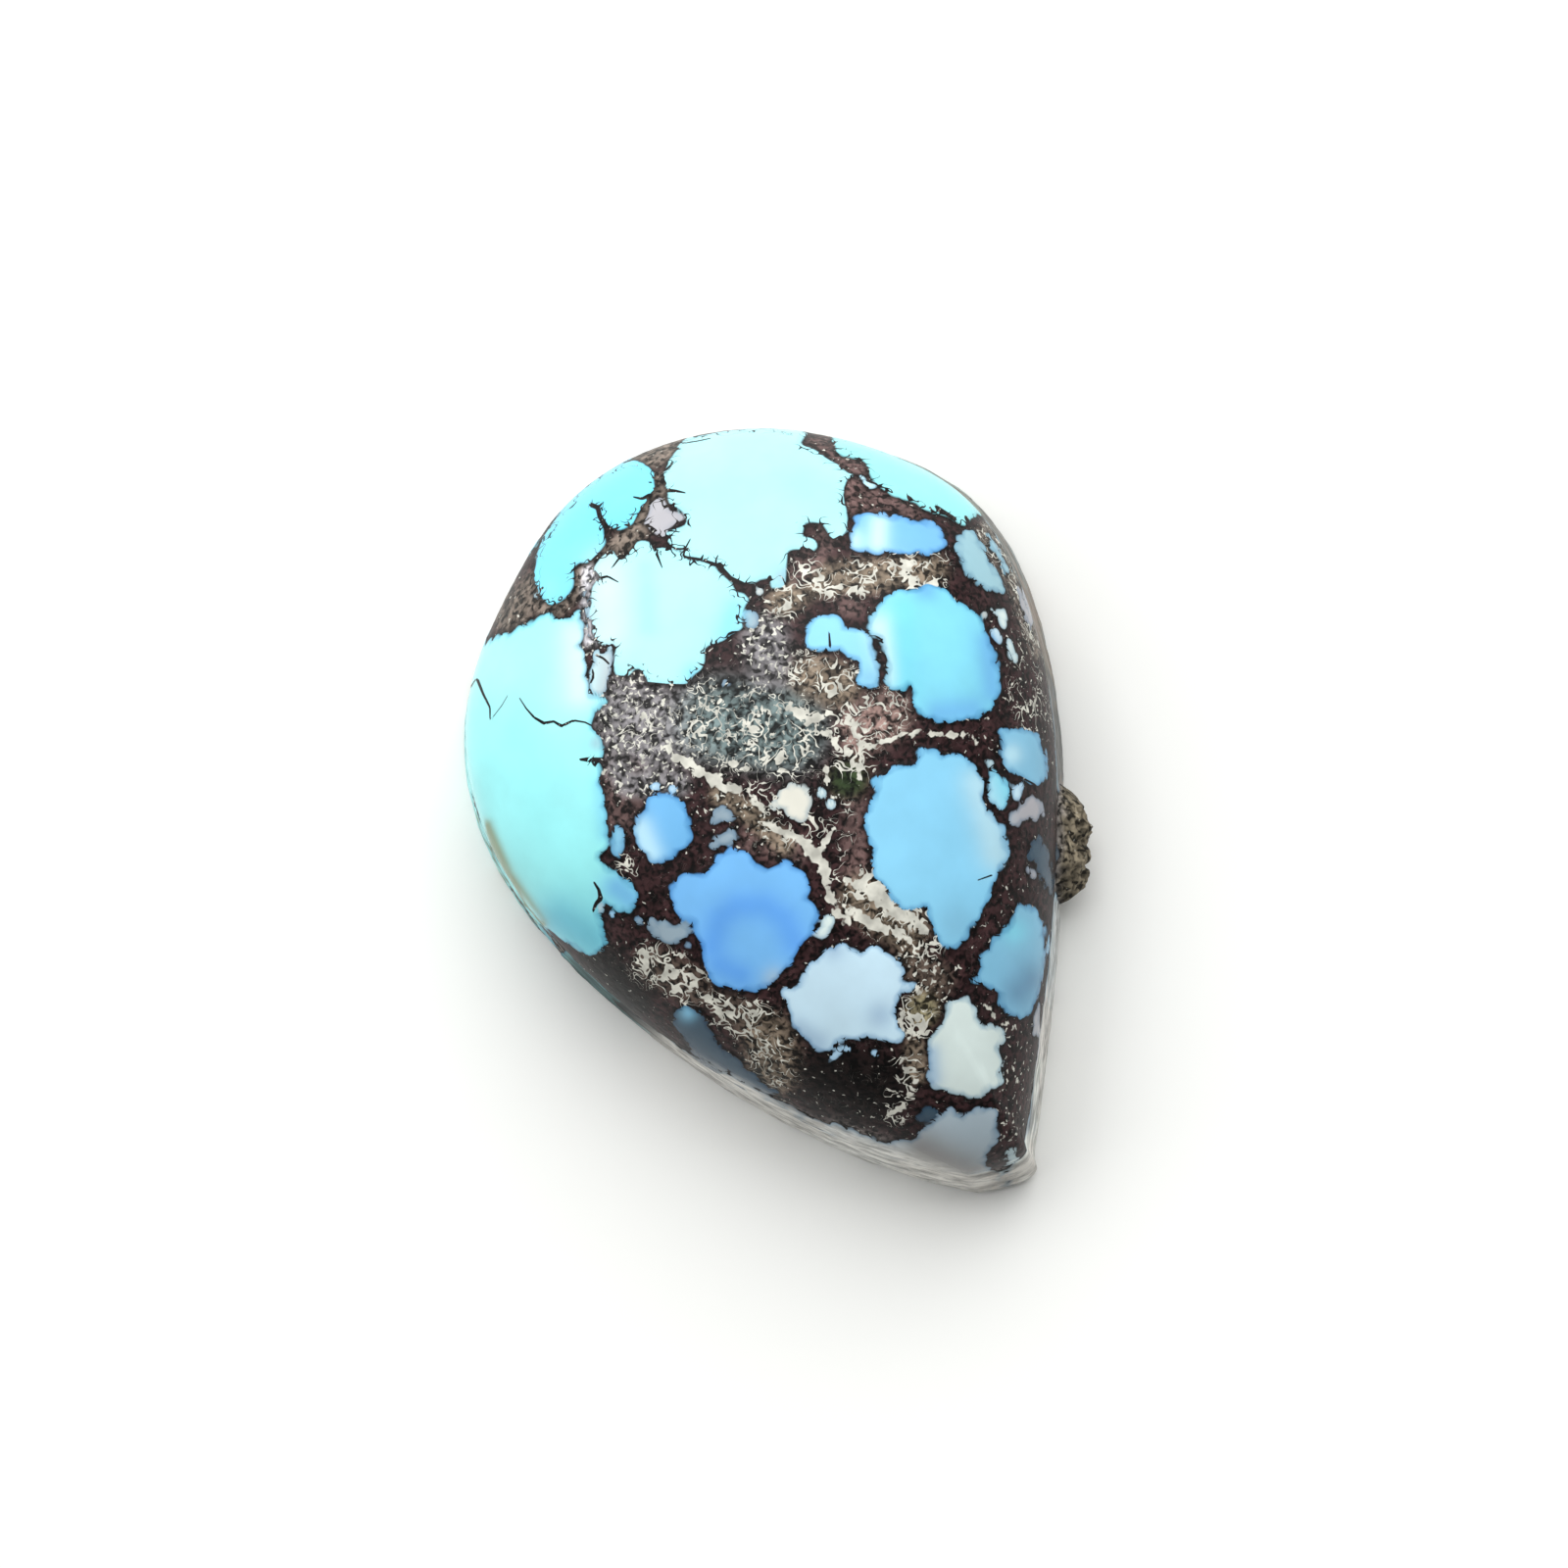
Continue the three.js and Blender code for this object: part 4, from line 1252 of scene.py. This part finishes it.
def floor_material(settings):
    """Matte painted board: even and pale, with a faint tooth that keeps it from looking like plain light."""
    material, tree = new_material("board_matte_painted")
    place = add_node(tree, "ShaderNodeTexCoord").outputs["Object"]
    tooth = add_node(tree, "ShaderNodeTexNoise", {
        "Vector": place, "Scale": per_mm(BOARD_TOOTH_SIZE), "Detail": 3.0})
    bump = add_node(tree, "ShaderNodeBump", {
        "Strength": 0.15, "Distance": 0.02 * MM, "Height": tooth.outputs["Fac"]})
    shader = add_node(tree, "ShaderNodeBsdfPrincipled", {
        "Base Color": (*settings.floor_colour, 1.0), "Roughness": 0.85, "Normal": bump.outputs["Normal"]})
    add_node(tree, "ShaderNodeOutputMaterial", {"Surface": shader.outputs["BSDF"]})
    return material


# Stage

def place_camera(settings):
    """The camera, standing where the photograph was taken from."""
    data = bpy.data.cameras.new("camera")
    data.lens, data.sensor_width = LENS, SENSOR
    data.clip_start, data.clip_end = 1.0 * MM, 10.0
    camera = bpy.data.objects.new("camera", data)
    turn = Matrix(camera_axes()).transposed().to_4x4()
    camera.matrix_world = Matrix.Translation(camera_place(settings)) @ turn
    bpy.context.collection.objects.link(camera)
    bpy.context.scene.camera = camera


def add_soft_light(name, power, size, place, aim):
    """A large soft light that faces the stone, placed along the camera's level right and up."""
    right, up, _ = camera_axes()
    level_right = Vector((right.x, right.y, 0.0)).normalized()
    level_up = Vector((up.x, up.y, 0.0)).normalized()
    where = aim + (level_right * place[0] + level_up * place[1] + Vector((0.0, 0.0, place[2]))) * MM
    data = bpy.data.lights.new(name, "AREA")
    data.shape, data.energy = "RECTANGLE", power
    data.size, data.size_y = (side * MM for side in size)
    light = bpy.data.objects.new(name, data)
    light.location = where
    light.rotation_euler = (where - aim).to_track_quat("Z", "Y").to_euler()
    bpy.context.collection.objects.link(light)


def lay_floor(settings):
    """The pale floor that the stone lies on."""
    form = bmesh.new()
    bmesh.ops.create_grid(form, x_segments=8, y_segments=8, size=settings.floor_size / 2)
    mesh = bpy.data.meshes.new("floor")
    form.to_mesh(mesh)
    form.free()
    mesh.materials.append(floor_material(settings))
    floor = bpy.data.objects.new("floor", mesh)
    bpy.context.collection.objects.link(floor)


def light_world(strength):
    """Even white light from all round."""
    world = bpy.data.worlds.new("studio")
    world.use_nodes = True
    background = world.node_tree.nodes["Background"]
    background.inputs["Color"].default_value = (1.0, 1.0, 1.0, 1.0)
    background.inputs["Strength"].default_value = strength
    bpy.context.scene.world = world


class STONE_OT_stage(bpy.types.Operator):
    """Lays the floor and sets the camera and the lights"""

    bl_idname = "stone.stage"
    bl_label = "Stage"

    def execute(self, context):
        stage = context.scene.stone_stage
        stone = context.scene.stone
        lay_floor(stage)
        place_camera(stone)
        aim = Vector((0.0, 0.0, stone.height / 2))
        add_soft_light("window", stage.window_power, WINDOW_SIZE, WINDOW_PLACE, aim)
        add_soft_light("side", stage.side_power, SIDE_SIZE, SIDE_PLACE, aim)
        light_world(stage.sky_strength)
        context.scene.view_settings.view_transform = "Standard"
        return {"FINISHED"}


class STONE_OT_turquoise(bpy.types.Operator):
    """Models the polished turquoise with its web, ground edge, sawn back and crust"""

    bl_idname = "stone.turquoise"
    bl_label = "Turquoise stone"

    def execute(self, context):
        settings = context.scene.stone
        mesh = model_stone(settings)
        mesh.materials.append(stone_material(settings))
        piece = bpy.data.objects.new("turquoise", mesh)
        context.collection.objects.link(piece)
        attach(piece, "root")
        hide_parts(NODE)
        return {"FINISHED"}


class STONE_PT_panel(bpy.types.Panel):
    """Lists the stone's operators and settings"""

    bl_idname = "STONE_PT_panel"
    bl_label = "Turquoise stone"
    bl_space_type = "VIEW_3D"
    bl_region_type = "UI"
    bl_category = "Stone"

    def draw(self, context):
        for operator in (STONE_OT_stage, STONE_OT_turquoise):
            self.layout.operator(operator.bl_idname)
        for group in (context.scene.stone, context.scene.stone_stage):
            column = self.layout.column()
            for name in group.__annotations__:
                column.prop(group, name)


CLASSES = (StoneSettings, StageSettings, STONE_OT_stage, STONE_OT_turquoise, STONE_PT_panel)


def register():
    for cls in CLASSES:
        bpy.utils.register_class(cls)
    bpy.types.Scene.stone = bpy.props.PointerProperty(type=StoneSettings)
    bpy.types.Scene.stone_stage = bpy.props.PointerProperty(type=StageSettings)


def unregister():
    del bpy.types.Scene.stone_stage
    del bpy.types.Scene.stone
    for cls in reversed(CLASSES):
        bpy.utils.unregister_class(cls)


def main():
    register()
    bpy.ops.stone.stage()
    bpy.ops.stone.turquoise()


if __name__ == "__main__":
    main()
